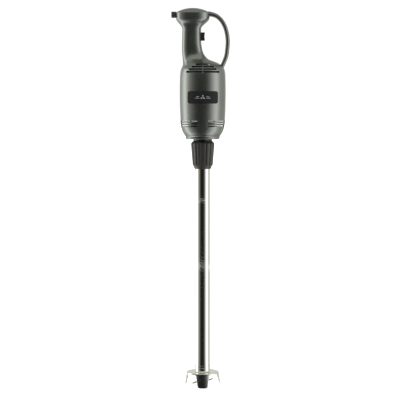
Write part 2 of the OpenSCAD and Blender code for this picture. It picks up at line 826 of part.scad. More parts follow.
seal_z = [disc_top_z - 4, disc_top_z + 3.5];
module bell_guard() {
    plate = 2;
    hub_r = 18.4;
    edge = 4.2;
    flare = 4.5;
    bush_r = 9;
    seal_r = 11;
    tab_top_w = 35;
    tab_foot_w = 23.5;
    tab_corner = 4;
    line = 0.3;
    line_z = feet_z + 44.7;
    under_z = disc_top_z - plate;
    color("#b9bcbf") union() {
        rotate_extrude() polygon(concat(
            [[bush_r, hub_top_z + 18], [plug_r, hub_top_z + 18], [plug_r, hub_top_z]],
            [[hub_r, hub_top_z], [hub_r, line_z + line], [hub_r - line, line_z], [hub_r, line_z - line]],
            arc(hub_r + flare, disc_top_z + flare, flare, 180, 270),
            arc(guard_r - edge, disc_top_z - edge, edge, 90, 0, 8),
            [[guard_r - plate, disc_top_z - edge], [guard_r - plate - 1, under_z]],
            [[16, under_z], [14, under_z - 2.4], [seal_r, under_z - 2.4]],
            [[seal_r, seal_z[1]], [bush_r, seal_z[1]]]
        ));
        // Four feet: strips of a cone that hang from the disc's rim
        intersection() {
            rotate_extrude() polygon([
                [guard_r, disc_top_z - edge], [feet_r, feet_z],
                [feet_r - plate, feet_z], [guard_r - plate, disc_top_z - edge],
            ]);
            for (a = [0:90:270])
                rotate([90, 0, a]) linear_extrude(feet_r + 5) polygon(concat(
                    [[tab_top_w / 2, disc_top_z]],
                    [[-tab_top_w / 2, disc_top_z]],
                    arc(-tab_foot_w / 2 + tab_corner, feet_z + tab_corner, tab_corner, 190, 270, 6),
                    arc(tab_foot_w / 2 - tab_corner, feet_z + tab_corner, tab_corner, 270, 350, 6)
                ));
        }
    }
}

module lower_bush() {
    color("#a9793a") ring(spindle_r + 0.05, 9, disc_top_z + 4, hub_top_z + 16);
}

module shaft_seal() {
    color("#1a1a1a") ring(spindle_r + 0.1, 11, seal_z[0], seal_z[1] - 0.2);
}

// ---------------------------------------------------------------- coupling collar

washer_z = [tube_top_z - 1.3, tube_top_z - 0.1];
module coupling_collar() {
    collar_r = [24.9, 29];
    cone_z = [collar_end_z + 7.8, collar_top_z - 7];
    lean = atan((collar_r[1] - collar_r[0]) / (cone_z[1] - cone_z[0]));
    flute_r = 2.6;
    shoulder_z = washer_z[0];
    bore_r = thread_crest_r + play;
    color("#28211f") union() {
        difference() {
            rotate_extrude() polygon([
                [tube_r + play, collar_end_z], [20, collar_end_z], [22.7, cone_z[0]],
                [collar_r[0], cone_z[0] + 1.2], [collar_r[1], cone_z[1]],
                [collar_r[1] - 1.2, cone_z[1] + 2.6], [23.4, collar_top_z], [bore_r, collar_top_z],
                [bore_r, shoulder_z], [tube_r + play, shoulder_z],
            ]);
            around(flutes, collar_r[0] + flute_r * 0.45, 17.7 - 90)
                translate([0, 0, cone_z[0]]) rotate([0, lean, 0])
                    translate([0, 0, -3]) cylinder(r = flute_r, h = 70, $fn = 32);
        }
        thread_ridge(
            bore_r + 0.25, thread_root_r + play, ridge_root_w, ridge_crest_w,
            ridge_start_z + pitch / 2, 2.5
        );
    }
}

module collar_washer() {
    color("#d8d8d4") ring(tube_r + play, thread_crest_r, washer_z[0], washer_z[1]);
}

// ---------------------------------------------------------------- drive shaft and blade

stud_r = 4;
stud_end_z = feet_z + 6.6;
step_z = feet_z + 30;
module drive_shaft() {
    color("#c3c5c8") {
        translate([0, 0, step_z]) cylinder(r = spindle_r, h = -33 - step_z);
        translate([0, 0, stud_end_z]) cylinder(r = stud_r, h = step_z - stud_end_z);
    }
}

module drive_dog() {
    color("#6b6e72") difference() {
        translate([0, 0, -33]) cylinder(r = socket_r - play, h = 14, $fn = 6);
        translate([0, 0, -34]) cylinder(r = 2, h = 4);
    }
}

blade_h = 2;
module shaft_sleeve() {
    color("#b9bcbf") ring(stud_r, 7, blade_z + blade_h / 2, step_z);
}

module blade() {
    tip_rise = 4;
    bend_x = 13;
    tip_r = blade_d / 2;
    plan = concat(
        [[0, -7]], arc(tip_r - 4, -2, 4, -60, 40, 6), [[16, 5.5], [0, 7]]
    );
    color("#c4c7ca") rotate([0, 0, 30]) difference() {
        union() {
            for (side = [0, 1])
                rotate([0, 0, 180 * side]) intersection() {
                    translate([0, 10, blade_z]) mirror([0, 0, side]) rotate([90, 0, 0])
                        linear_extrude(20) polygon([
                            [0, -blade_h / 2], [bend_x, -blade_h / 2], [tip_r + 1, tip_rise - blade_h / 2],
                            [tip_r + 1, tip_rise + blade_h / 2], [bend_x, blade_h / 2], [0, blade_h / 2],
                        ]);
                    translate([0, 0, blade_z - 10]) linear_extrude(20) polygon(plan);
                }
            translate([0, 0, blade_z - blade_h / 2]) cylinder(r = 8, h = blade_h);
        }
        translate([0, 0, blade_z - 10]) cylinder(r = stud_r, h = 20);
    }
}

module blade_nut() {
    nut_h = 3.4;
    dome_h = 1.1;
    top = blade_z - blade_h / 2;
    color("#aeb1b4") difference() {
        union() {
            translate([0, 0, top - nut_h]) cylinder(r = 6.6, h = nut_h, $fn = 6);
            translate([0, 0, top - nut_h - dome_h]) cylinder(r1 = 4, r2 = 5.6, h = dome_h);
        }
        translate([0, 0, stud_end_z]) cylinder(r = stud_r, h = 10);
    }
}

front_housing();
rear_housing();
end_cap();
threaded_spigot();
nameplate();
hoop_handle();
cord_gland();
cord_clamp();
housing_screws();
stator_stack();
left_field_coil();
right_field_coil();
motor_rods();
stator_spacers();
upper_bracket();
brush_holders();
carbon_brushes();
brush_springs();
fan_shroud();
dust_shield();
lower_bearing();
upper_bearing();
control_board();
suppression_capacitor();
terminal_block();
switch_body();
internal_leads();
motor_shaft();
armature_stack();
armature_windings();
commutator();
cooling_fan();
drive_coupling();
trigger();
switch_plunger();
trigger_spring();
shaft_tube();
shaft_head();
head_bearing();
bearing_circlip();
mid_bush();
bell_guard();
lower_bush();
shaft_seal();
coupling_collar();
collar_washer();
drive_shaft();
drive_dog();
shaft_sleeve();
blade();
blade_nut();
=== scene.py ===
"""Looks for the immersion blender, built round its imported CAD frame.

The pieces are written in millimetres, as the CAD is, and solid() turns them into metres. Only the
studio is in metres. Z runs along the spindle, z = 0 is the seat under the end cap, and the front
faces -Y.
"""

from math import asin, atan2, copysign, cos, exp, hypot, pi, radians, sin, sqrt, tan

import bmesh
import bpy
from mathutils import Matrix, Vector


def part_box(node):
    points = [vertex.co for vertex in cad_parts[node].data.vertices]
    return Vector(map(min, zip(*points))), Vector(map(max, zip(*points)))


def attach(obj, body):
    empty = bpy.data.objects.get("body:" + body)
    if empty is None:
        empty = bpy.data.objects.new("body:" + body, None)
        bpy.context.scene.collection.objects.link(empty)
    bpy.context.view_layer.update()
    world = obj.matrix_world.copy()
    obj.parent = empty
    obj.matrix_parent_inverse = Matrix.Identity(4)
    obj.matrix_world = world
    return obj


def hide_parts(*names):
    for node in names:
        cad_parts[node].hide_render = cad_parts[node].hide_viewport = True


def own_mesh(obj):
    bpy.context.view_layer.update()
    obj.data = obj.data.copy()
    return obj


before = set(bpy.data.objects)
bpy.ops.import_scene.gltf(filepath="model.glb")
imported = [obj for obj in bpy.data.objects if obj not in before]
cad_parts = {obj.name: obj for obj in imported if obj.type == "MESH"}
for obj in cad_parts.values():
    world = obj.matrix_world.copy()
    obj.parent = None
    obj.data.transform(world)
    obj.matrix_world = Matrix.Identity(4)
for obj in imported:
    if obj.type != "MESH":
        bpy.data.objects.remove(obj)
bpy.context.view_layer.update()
scene = bpy.context.scene
MM = 0.001


def box_mm(node):
    low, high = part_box(node)
    return low / MM, high / MM


def mid_z(box):
    return (box[0].z + box[1].z) / 2


# ---- sizes, from the frame where a box has them

PLATE, HOUSING, SPIGOT, GLAND, TRIGGER, COLLAR, TUBE, GUARD, BLADE, NUT, SLEEVE, SPRING = map(box_mm, (
    "nameplate", "front_housing", "threaded_spigot", "cord_gland", "trigger", "coupling_collar",
    "shaft_tube", "bell_guard", "blade", "blade_nut", "shaft_sleeve", "trigger_spring",
))

plate_r = -PLATE[0].y
body_r = plate_r - 0.65
skirt_z = HOUSING[0].z
top_z = HOUSING[1].z
crease_z = top_z - 9.2
neck_z = 236
neck_x = -27
neck_w = 46.8
neck_depth = 42
head_x = -24.2
head_w = 2 * (head_x - HOUSING[0].x)
head_depth = 62
wall = 3
feet_z = GUARD[0].z
feet_r = GUARD[1].x
tube_r = TUBE[1].x
hub_top_z = TUBE[0].z
disc_top_z = feet_z + 34.4

# ---- mesh tools


def place_object(name, data):
    made = bpy.data.objects.new(name, data)
    scene.collection.objects.link(made)
    return made


def finish_mesh(work, mesh):
    bmesh.ops.recalc_face_normals(work, faces=work.faces)
    work.to_mesh(mesh)
    work.free()
    return place_object("piece", mesh)


def solid(points, faces):
    """New object from points in millimetres, with merged seams and outward normals."""
    mesh = bpy.data.meshes.new("piece")
    mesh.from_pydata([Vector(p) * MM for p in points], [], faces)
    work = bmesh.new()
    work.from_mesh(mesh)
    bmesh.ops.remove_doubles(work, verts=work.verts, dist=1e-8)
    return finish_mesh(work, mesh)


CORNERS = ((-1, -1), (1, -1), (1, 1), (-1, 1))


def circle(n):
    """n angles, evenly round a circle."""
    return [2 * pi * k / n for k in range(n)]


def polar(r, angle):
    return r * cos(angle), r * sin(angle)


def spun(x, y, angle):
    """The point x, y turned round the origin."""
    c, s = cos(angle), sin(angle)
    return x * c - y * s, x * s + y * c


def ring_faces(count, n):
    """Faces that join each of count rings, of n points each, to the next one."""
    return [
        (k + i, k + (i + 1) % n, k + n + (i + 1) % n, k + n + i)
        for k in range(0, (count - 1) * n, n)
        for i in range(n)
    ]


def skin(rings):
    """Closed solid through rings that all have the same number of points."""
    n = len(rings[0])
    last = (len(rings) - 1) * n
    ends = [tuple(range(n)), tuple(range(last, last + n))]
    return solid([p for ring in rings for p in ring], ring_faces(len(rings), n) + ends)


def revolve(outline, sides=160, shape=None):
    """Solid turned round Z from a closed outline of (radius, z); shape may change a radius by angle."""
    n = len(outline)
    points, faces = [], []
    for j, angle in enumerate(circle(sides)):
        points += [(*polar(shape(r, z, angle) if shape else r, angle), z) for r, z in outline]
        a, b = j * n, (j + 1) % sides * n
        faces += [(a + i, a + (i + 1) % n, b + (i + 1) % n, b + i) for i in range(n)]
    return solid(points, faces)


NEARLY_STRAIGHT = 1.56  # radians, half the angle of a corner that gets no fillet
FILLET_SHARE = 0.49  # part of an edge that one fillet may take


def fillet(corners, steps=5):
    """Closed outline with rounded corners, from (x, y) or (x, y, radius)."""
    outline = []
    for i, corner in enumerate(corners):
        p = Vector(corner[:2])
        before = Vector(corners[i - 1][:2]) - p
        after = Vector(corners[(i + 1) % len(corners)][:2]) - p
        radius = corner[2] if len(corner) > 2 else 0
        half = before.angle(after) / 2
        if radius <= 0 or half > NEARLY_STRAIGHT:
            outline.append(tuple(p))
            continue
        reach = min(radius / tan(half), FILLET_SHARE * before.length, FILLET_SHARE * after.length)
        u, v = before.normalized(), after.normalized()
        centre = p + (u + v).normalized() * reach / cos(half)
        first, final = p + u * reach - centre, p + v * reach - centre
        turn = atan2(first.x * final.y - first.y * final.x, first.dot(final))
        for k in range(steps + 1):
            x, y = spun(*first, turn * k / steps)
            outline.append((centre.x + x, centre.y + y))
    return outline


def combine(made, cutter, operation):
    step = made.modifiers.new("combine", "BOOLEAN")
    step.operation = operation
    step.solver = "MANIFOLD"
    step.object = cutter
    graph = bpy.context.evaluated_depsgraph_get()
    mesh = bpy.data.meshes.new_from_object(made.evaluated_get(graph))
    made.modifiers.clear()
    made.data = mesh
    bpy.data.objects.remove(cutter)


def cut(made, *cutters):
    for cutter in cutters:
        combine(made, cutter, "DIFFERENCE")


def unite(parts):
    for part in parts[1:]:
        combine(parts[0], part, "UNION")
    return parts[0]


def join(parts):
    """One object that holds several apart, in mesh code."""
    work = bmesh.new()
    for part in parts:
        work.from_mesh(part.data)
        bpy.data.objects.remove(part)
    work.normal_update()
    return finish_mesh(work, bpy.data.meshes.new("piece"))


def reshape(made, move):
    """Moves each vertex to what move(x, y, z) gives, in metres."""
    for vertex in made.data.vertices:
        vertex.co = move(*vertex.co)


def finish_piece(made, body, slot, node=None, look=None, sharp=30):
    """Shades a piece, gives it its slot's look or its own, and sets the body that it rides on. A piece
    that replaces a CAD node is named after it."""
    made.data.materials.clear()
    made.data.materials.append(look or LOOKS[slot])
    made.data.shade_smooth()
    made.data.set_sharp_from_angle(angle=radians(sharp))
    if node:
        made.name = node + ".detail"
    made.data.name = made.name
    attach(made, body)
    if node:
        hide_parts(node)


def lerp(a, b, t):
    return a + (b - a) * t


def smoothstep(a, b, x):
    t = min(1, max(0, (x - a) / (b - a)))
    return t * t * (3 - 2 * t)


def signed_pow(v, e):
    return copysign(abs(v) ** e, v)


# ---- material tools


class Tree:
    """A node material with short ways to add and join its nodes."""

    def __init__(self, name):
        self.material = bpy.data.materials.new(name)
        self.material.use_nodes = True
        self.tree = self.material.node_tree

    def add(self, kind, **settings):
        node = self.tree.nodes.new(kind)
        for name, value in settings.items():
            if name in node.inputs:
                node.inputs[name].default_value = value
            else:
                setattr(node, name, value)
        return node

    def link(self, source, target):
        self.tree.links.new(source, target)

    def math(self, operation, a, b=None):
        node = self.add("ShaderNodeMath", operation=operation)
        for socket, value in zip(node.inputs, (a, b)):
            if isinstance(value, (int, float)):
                socket.default_value = value
            elif value is not None:
                self.link(value, socket)
        return node.outputs[0]

    def between(self, fac, low, high, start=0.0, end=1.0):
        """Maps fac from start..end to low..high."""
        node = self.add("ShaderNodeMapRange")
        for socket, value in zip(node.inputs[1:5], (start, end, low, high)):
            socket.default_value = value
        self.link(fac, node.inputs[0])
        return node.outputs[0]


class Look(Tree):
    """A Principled material."""

    def __init__(self, name, **settings):
        super().__init__(name)
        self.shader = self.tree.nodes["Principled BSDF"]
        self.place = self.add("ShaderNodeTexCoord").outputs["Object"]
        for socket, value in settings.items():
            self.shader.inputs[socket.replace("_", " ")].default_value = value

    def drawn_out(self):
        """Object coordinates drawn out along Z, for lines that run along a piece."""
        mapping = self.add("ShaderNodeMapping", Scale=(1, 1, 0.02))
        self.link(self.place, mapping.inputs[0])
        return mapping.outputs[0]

    def noise(self, scale, detail=3, roughness=0.5, vector=None):
        node = self.add("ShaderNodeTexNoise", Scale=scale, Detail=detail, Roughness=roughness)
        self.link(vector or self.place, node.inputs[0])
        return node.outputs["Fac"]

    def wave(self, scale, distortion):
        node = self.add("ShaderNodeTexWave", Scale=scale, Distortion=distortion, bands_direction="Z")
        self.link(self.place, node.inputs[0])
        return node.outputs["Fac"]

    def turned(self):
        """Distance from the spindle axis and height, for marks that run round a turned piece."""
        split = self.add("ShaderNodeSeparateXYZ")
        self.link(self.place, split.inputs[0])
        x2, y2 = (self.math("POWER", split.outputs[k], 2) for k in (0, 1))
        radius = self.math("SQRT", self.math("ADD", x2, y2))
        joined = self.add("ShaderNodeCombineXYZ")
        self.link(radius, joined.inputs[0])
        self.link(split.outputs[2], joined.inputs[2])
        return joined.outputs[0]

    def blend(self, fac, a, b):
        """Mix of two colours, each a value or a socket."""
        node = self.add("ShaderNodeMix", data_type="RGBA")
        self.link(fac, node.inputs[0])
        for socket, value in ((node.inputs[6], a), (node.inputs[7], b)):
            if isinstance(value, tuple):
                socket.default_value = (*value, 1)
            else:
                self.link(value, socket)
        return node.outputs[2]

    def edges(self):
        """0 on flat stretches to 1 on convex edges."""
        point = self.add("ShaderNodeNewGeometry").outputs["Pointiness"]
        return self.between(point, 0, 1, 0.53, 0.56)

    def colour(self, source):
        self.link(source, self.shader.inputs["Base Color"])

    def roughness(self, source):
        self.link(source, self.shader.inputs["Roughness"])

    def relief(self, *layers):
        """Bump from (height, distance in mm) layers, coarse to fine."""
        normal = None
        for height, distance in layers:
            bump = self.add("ShaderNodeBump", Distance=distance * MM, Strength=1.0)
            self.link(height, bump.inputs["Height"])
            if normal:
                self.link(normal, bump.inputs["Normal"])
            normal = bump.outputs["Normal"]
        self.link(normal, self.shader.inputs["Normal"])


def shade(colour, k):
    return tuple(c * k for c in colour)


def moulded(name, colour, rough, grain=0.004, metallic=0.0, specular=0.5, wear=1.25):
    """Moulded plastic: fine spark grain, slight flow marks, and edges rubbed lighter."""
    look = Look(name, Metallic=metallic, IOR=1.5, Specular_IOR_Level=specular)
    flow = look.noise(14, 4, 0.55)
    mottle = look.noise(160, 3, 0.6)
    fine = look.noise(2600, 2, 0.7)
    tone = look.blend(look.between(flow, 0, 1, 0.35, 0.65), shade(colour, 0.95), shade(colour, 1.04))
    tone = look.blend(look.between(fine, 0, 0.5, 0.45, 0.75), tone, shade(colour, 1.12))
    look.colour(look.blend(look.edges(), tone, shade(colour, wear)))
    smear = look.math("ADD", look.between(flow, -0.03, 0.03, 0.3, 0.7), look.between(mottle, -0.02, 0.02))
    look.roughness(look.math("ADD", smear, rough))
    look.relief((mottle, grain * 2), (fine, grain))
    return look.material


def stainless(name, colour, rough, lines, depth):
    """Stainless steel with polishing lines that run round or along the piece, and faint smears."""
    look = Look(name, Metallic=1.0)
    if lines == "round":
        streak = look.noise(900, 3, 0.7, look.turned())
    else:
        streak = look.noise(700, 3, 0.7, look.drawn_out())
    smear = look.noise(22, 4, 0.6)
    dots = look.noise(420, 2, 0.5)
    tone = look.blend(look.between(streak, 0, 1, 0.3, 0.7), shade(colour, 0.96), colour)
    look.colour(look.blend(look.between(smear, 0, 0.5, 0.5, 0.8), tone, shade(colour, 0.93)))
    shine = look.between(smear, rough * 0.8, rough * 1.25)
    look.roughness(look.math("ADD", shine, look.between(dots, -0.01, 0.015)))
    look.relief((streak, depth))
    return look.material


def metal(name, colour, rough, grain, depth):
    """Cast, stamped or sintered metal with grain and dulled patches."""
    look = Look(name, Metallic=1.0)
    patches = look.noise(60, 4, 0.6)
    fine = look.noise(grain * 4, 3, 0.7)
    tone = look.blend(look.between(patches, 0, 1, 0.35, 0.7), colour, shade(colour, 0.85))
    look.colour(look.blend(look.edges(), tone, shade(colour, 1.15)))
    look.roughness(look.between(patches, rough * 0.85, rough * 1.2))
    look.relief((look.noise(grain, 3), depth), (fine, depth / 2))
    return look.material


def laminated(name):
    """Stack of punched steel sheets, half a millimetre each."""
    sheets_per_metre = 2000
    look = Look(name, Metallic=1.0)
    sheets = look.wave(sheets_per_metre / pi / 2, 0.2)
    rust = look.noise(90, 4, 0.6)
    steel = (0.36, 0.36, 0.37)
    tone = look.blend(look.between(rust, 0, 0.6, 0.5, 0.8), steel, (0.27, 0.22, 0.19))
    look.colour(look.blend(look.between(sheets, 0, 0.6), tone, shade(steel, 0.55)))
    look.roughness(look.between(rust, 0.32, 0.5))
    look.relief((sheets, 0.05))
    return look.material


def wound_copper(name):
    """Enamelled wire laid side by side, with lacquer over it."""
    look = Look(name, Metallic=1.0, Coat_Weight=0.6, Coat_Roughness=0.2)
    turns = look.wave(180, 1.5)
    flow = look.noise(110, 3)
    tone = look.blend(flow, (0.5, 0.2, 0.08), (0.66, 0.32, 0.13))
    look.colour(look.blend(turns, shade((0.4, 0.15, 0.06), 0.6), tone))
    look.roughness(look.between(flow, 0.28, 0.42))
    look.relief((turns, 0.25))
    return look.material


def circuit_board(name):
    """Solder resist over copper tracks, with pads."""
    look = Look(name, Roughness=0.4, Coat_Weight=0.5, Coat_Roughness=0.15)
    bricks = look.add("ShaderNodeTexBrick", Scale=190.0)
    bricks.inputs["Mortar Size"].default_value = 0.012
    look.link(look.place, bricks.inputs[0])
    weave = look.noise(900, 2)
    resist = look.blend(weave, (0.012, 0.075, 0.03), (0.02, 0.11, 0.045))
    look.colour(look.blend(bricks.outputs["Fac"], resist, (0.05, 0.2, 0.08)))
    look.relief((bricks.outputs["Fac"], 0.03), (weave, 0.004))
    return look.material


GREY = (0.235, 0.252, 0.24)
# Slot, maker, and what the maker takes after the name
LOOKS = {slot: maker(slot, *values) for slot, maker, *values in (
    ("housing_plastic", moulded, GREY, 0.3, 0.002, 0.95),
    # Painted shade: the hoop is the housing's own grey plastic, darkened by 0.95 as a shaded copy
    ("hoop_plastic", moulded, shade(GREY, 0.95), 0.3, 0.002, 0.95),
    # Painted shade: the end cap is the housing's own grey plastic, darkened by 0.85 as a shaded copy
    ("cap_plastic", moulded, shade(GREY, 0.85), 0.3, 0.002, 0.95),
    ("spigot_plastic", moulded, (0.01, 0.01, 0.011), 0.12, 0.001),
    ("nameplate_film", moulded, (0.013, 0.013, 0.014), 0.55, 0.002, 0.0, 0.2),
    ("soft_black", moulded, (0.045, 0.045, 0.046), 0.55, 0.008, 0.0, 0.4),
    ("trigger_plastic", moulded, (0.015, 0.015, 0.016), 0.38, 0.003),
    ("inner_plastic", moulded, (0.03, 0.03, 0.032), 0.5, 0.006),
    ("pale_plastic", moulded, (0.62, 0.6, 0.54), 0.45, 0.004, 0.0, 0.5, 1.1),
    ("lead_insulation", moulded, (0.22, 0.03, 0.02), 0.42, 0.003),
    ("circuit_board", circuit_board),
    ("capacitor_film", moulded, (0.55, 0.4, 0.06), 0.35, 0.003),
    ("lamination_steel", laminated),
    ("copper_winding", wound_copper),
    ("cast_alloy", metal, (0.45, 0.46, 0.47), 0.42, 500, 0.01),
    ("brush_brass", metal, (0.6, 0.44, 0.16), 0.3, 700, 0.002),
    ("carbon", moulded, (0.02, 0.02, 0.02), 0.7, 0.01),
    ("zinc_steel", metal, (0.55, 0.56, 0.58), 0.28, 800, 0.002),
    ("ground_steel", stainless, (0.62, 0.63, 0.64), 0.2, "round", 0.001),
    ("polished_stainless", stainless, (0.8, 0.8, 0.775), 0.09, "along", 0.0003),
    ("satin_stainless", stainless, (0.78, 0.785, 0.77), 0.16, "round", 0.0008),
    ("bronze", metal, (0.5, 0.3, 0.12), 0.38, 900, 0.004),
    ("collar_plastic", moulded, (0.03, 0.0285, 0.026), 0.34, 0.003, 0.0, 0.5, 1.6),
    ("blade_steel", stainless, (0.7, 0.7, 0.7), 0.18, "along", 0.0012),
)}

# ---- shape of the moulding


def sections(half_w, half_d, rows):
    return [(z, x, half_w + dw, half_d + dd, power) for z, x, dw, dd, power in rows]


# Height and how far the round body is drawn in
BARREL = [
    (skirt_z, 10.8), (16, 7.6), (26, 3.9), (36, 2.2), (55, 1.5), (75, 0.6), (114, 0), (153, 0.7),
    (163, 1.7), (168, 2.7), (173, 4.7),
]
# Height, centre, added half width and half depth, squareness (2 is round)
SHOULDER = sections(body_r, body_r, [(z, 0, -drawn_in, -drawn_in, 2) for z, drawn_in in BARREL] + [
    (178, -0.9, -8, -8.6, 2), (183, -4.2, -11.8, -14.6, 2.05), (187.5, -8.8, -16.4, -22, 2.15),
    (190, -13, -20.5, -26, 2.3),
]) + sections(neck_w / 2, neck_depth / 2, [
    (193, -17, 8.2, 5.5, 2.5), (197, -19.5, 6, 3, 2.6), (207, -23.7, 2.9, 0.5, 2.6),
    (217, -25.8, 1.4, 0, 2.6), (neck_z, neck_x, 0, 0, 2.6), (267, neck_x + 0.3, -0.6, 0, 2.6),
])
HEAD = (head_x, head_w / 2, head_depth / 2, 2.3)
HEAD_FLARE = (267, 292.5)
HEAD_CHIN = (276, 291)
CREASE_DROP = 3.4
CREASE_LEAD = 4  # height over which the side draws in to the crease under the head's cap
STEP = 1.25  # height between sections
FAIRING = 5  # rounds of smoothing


def slope(i, c):
    """Slope at a station: the harmonic mean of its neighbours', so the curve never overshoots."""
    chords = [
        (SHOULDER[k + 1][c] - SHOULDER[k][c]) / (SHOULDER[k + 1][0] - SHOULDER[k][0])
        for k in (max(0, i - 1), min(len(SHOULDER) - 2, i))
    ]
    a, b = chords
    return 0 if a * b <= 0 else 2 * a * b / (a + b)


def station_curve(z, c):
    i = max([k for k in range(len(SHOULDER) - 1) if SHOULDER[k][0] <= z], default=0)
    h = SHOULDER[i + 1][0] - SHOULDER[i][0]
    t = min(1, max(0, (z - SHOULDER[i][0]) / h))
    return (
        (2 * t**3 - 3 * t**2 + 1) * SHOULDER[i][c]
        + (t**3 - 2 * t**2 + t) * h * slope(i, c)
        + (3 * t**2 - 2 * t**3) * SHOULDER[i + 1][c]
        + (t**3 - t**2) * h * slope(i + 1, c)
    )


def faired_sections():
    """Evenly spaced sections with the last unevenness smoothed out of them."""
    heights = [skirt_z + STEP * i for i in range(int((top_z - skirt_z) / STEP) + 2)]
    rows = []
    for z in heights:
        t, chin = smoothstep(*HEAD_FLARE, z), smoothstep(*HEAD_CHIN, z)
        rows.append([lerp(station_curve(z, c), HEAD[c - 1], chin if c == 3 else t) for c in range(1, 5)])
    for _ in range(FAIRING):
        rows = [rows[0]] + [
            [(a + 2 * b + c) / 4 for a, b, c in zip(*rows[i - 1 : i + 2])] for i in range(1, len(rows) - 1)
        ] + [rows[-1]]
    return rows


FAIRED = faired_sections()
cap_rim = head_w / 2 - CREASE_DROP
cap_r = (cap_rim**2 + (top_z - crease_z) ** 2) / (2 * (top_z - crease_z))


def cap_scale(z):
    if z <= crease_z - CREASE_LEAD:
        return 1
    if z <= crease_z:
        return 1 - CREASE_DROP / (head_w / 2) * ((z - crease_z + CREASE_LEAD) / CREASE_LEAD) ** 3
    return sqrt(max(0, cap_r**2 - (cap_r - (top_z - z)) ** 2)) / (head_w / 2)


def section(z):
    """Centre, half width, half depth and squareness of the moulding at height z."""
    place = min(len(FAIRED) - 1.001, max(0, (z - skirt_z) / STEP))
    i = int(place)
    centre, half_w, half_d, power = (lerp(a, b, place - i) for a, b in zip(FAIRED[i], FAIRED[i + 1]))
    k = cap_scale(z)
    return centre, half_w * k, half_d * k, power


def hollow_section(z):
    near = [section(min(top_z - 0.01, max(skirt_z, z + dz))) for dz in (-wall, 0, wall)]
    left = max(s[0] - s[1] for s in near) + wall
    right = min(s[0] + s[1] for s in near) - wall
    return (left + right) / 2, (right - left) / 2, min(s[2] for s in near) - wall, near[1][3]


def superellipse(u, power):
    return max(0, 1 - abs(u) ** power) ** (1 / power)


def surface_y(x, z):
    """How far the outer surface is from the seam plane, at x and z."""
    centre, half_w, half_d, power = section(z)
    return half_d * superellipse((x - centre) / half_w, power)


def surface_x(y, s, side):
    """x of the outer surface at distance y from the seam plane, on the left (-1) or right (1)."""
    return s[0] + side * s[1] * superellipse(y / s[2], s[3])


SEAM_GAP = 0.1
SEAM_EDGE = 0.45
SEAM_INSET = 0.32
SEAM_FADE = 14  # half depth under which the seam's softening shrinks
SEAM_ANGLE = 2.5  # degrees from the seam to the plain outline
HALF_STEPS = 112
INNER_SIDES = 96
CREASE_ROWS = 10
CAP_ROWS = 24
MOUTH_R = 40
MOUTH_Z = 13


def half_outline(s, z, side):
    """Half of a section, from the left seam round to the right one, with a softened seam edge."""
    k = min(1, s[2] / SEAM_FADE)
    near = [(SEAM_GAP * k, SEAM_INSET * k), (SEAM_EDGE * 0.5 * k, 0.08 * k), (SEAM_EDGE * k, 0)]
    left = [(surface_x(y, s, -1) + inset, side * y, z) for y, inset in near]
    right = [(surface_x(y, s, 1) - inset, side * y, z) for y, inset in reversed(near)]
    middle = []
    for i in range(HALF_STEPS + 1):
        a = radians(lerp(SEAM_ANGLE, 180 - SEAM_ANGLE, i / HALF_STEPS))
        x = s[0] - s[1] * signed_pow(cos(a), 2 / s[3])
        middle.append((x, side * s[2] * sin(a) ** (2 / s[3]), z))
    return left + middle + right


def outline_ring(s, z):
    ring = []
    for a in circle(INNER_SIDES):
        x = s[0] + s[1] * signed_pow(cos(a), 2 / s[3])
        ring.append((x, s[2] * signed_pow(sin(a), 2 / s[3]), z))
    return ring


def shell_heights():
    lead_z = crease_z - CREASE_LEAD
    low = [skirt_z + STEP * i for i in range(int((lead_z - skirt_z) / STEP))]
    crease = [lead_z + CREASE_LEAD / CREASE_ROWS * i for i in range(CREASE_ROWS + 1)]
    rim = asin(cap_rim / cap_r)
    cap = [top_z - cap_r * (1 - cos(rim * (1 - i / CAP_ROWS))) for i in range(1, CAP_ROWS)]
    return low + crease + cap + [top_z - 0.0004]


def hollow_solid():
    rings = [outline_ring((0, MOUTH_R, MOUTH_R, 2), z) for z in (skirt_z - 1, MOUTH_Z)]
    for z in shell_heights():
        s = hollow_section(z)
        if z > MOUTH_Z + 0.5 and min(s[1], s[2]) > wall:
            rings.append(outline_ring(s, z))
    return skin(rings)


# ---- openings in the moulding

SHOULDER_SLOTS = [(162.4, 40.3), (168.8, 33.3), (174.6, 27), (180.2, 17)]
SLOT_H = 4
SLOT_RIB = 2.4
BODY_SLOTS = (31.7, 37.5, 43.3)
BODY_SLOT_H = 2.4
BODY_SLOT_SPAN = (14, 82)
SCREWS = [(43, 24.5), (-43, 24.5), (47, 140), (-47, 140), (-41.7, 212.3), (-42, 276.8), (-6, 285.5)]
SCREW_HEAD_R = 3.3
SCREW_HEAD_Y = 8
GLAND_R = 7.8
GLAND_NECK_R = 6.2
GLAND_FLANGE_X = -60


def louvre(place, start, end, z, height, scale, sill, sill_clear, rib=None, depth=10):
    """Cutter for one air slot: softened lips outside, round ends, and a sill behind the lower lip.

    place(s, depth, z) gives the point, and scale is the length of s in millimetres. The sill rises
    by sill, except within sill_clear of either end, where one can look in. Within rib of s = 0 the
    cutter stays shallow, which leaves a recessed rib.
    """
    lip, lip_depth, sill_depth, rib_depth = 0.3, 0.5, 2.6, 1.5
    outside, longest_step = -4, 0.8
    half = height / 2
    length = (end - start) * scale
    steps = max(24, int(length / longest_step))
    stations = [start + (end - start) * i / steps for i in range(steps + 1)]
    if rib:
        sides = [side * rib + step for side in (-1, 1) for step in (-0.05, 0.05)]
        stations = sorted([s for s in stations if abs(abs(s) - rib) > 0.3] + sides)
    rings = []
    for s in stations:
        near_end = min(s - start, end - s) * scale
        over = max(0, 1 - near_end / half)
        f = sqrt(max(0.02, 1 - over**2))
        lift = sill * smoothstep(half, sill_clear, near_end)
        deep = rib_depth if rib and abs(s) < rib else depth
        back = min(deep - 0.1, sill_depth)
        opening, mouth = half * f, (half + lip) * f
        rings.append([place(s, d, z + h) for d, h in (
            (outside, mouth), (0, mouth), (lip_depth, opening), (deep, opening), (deep, lift - opening),
            (back, lift - opening), (lip_depth, -opening), (0, -mouth), (outside, -mouth),
        )])
    return skin(rings)


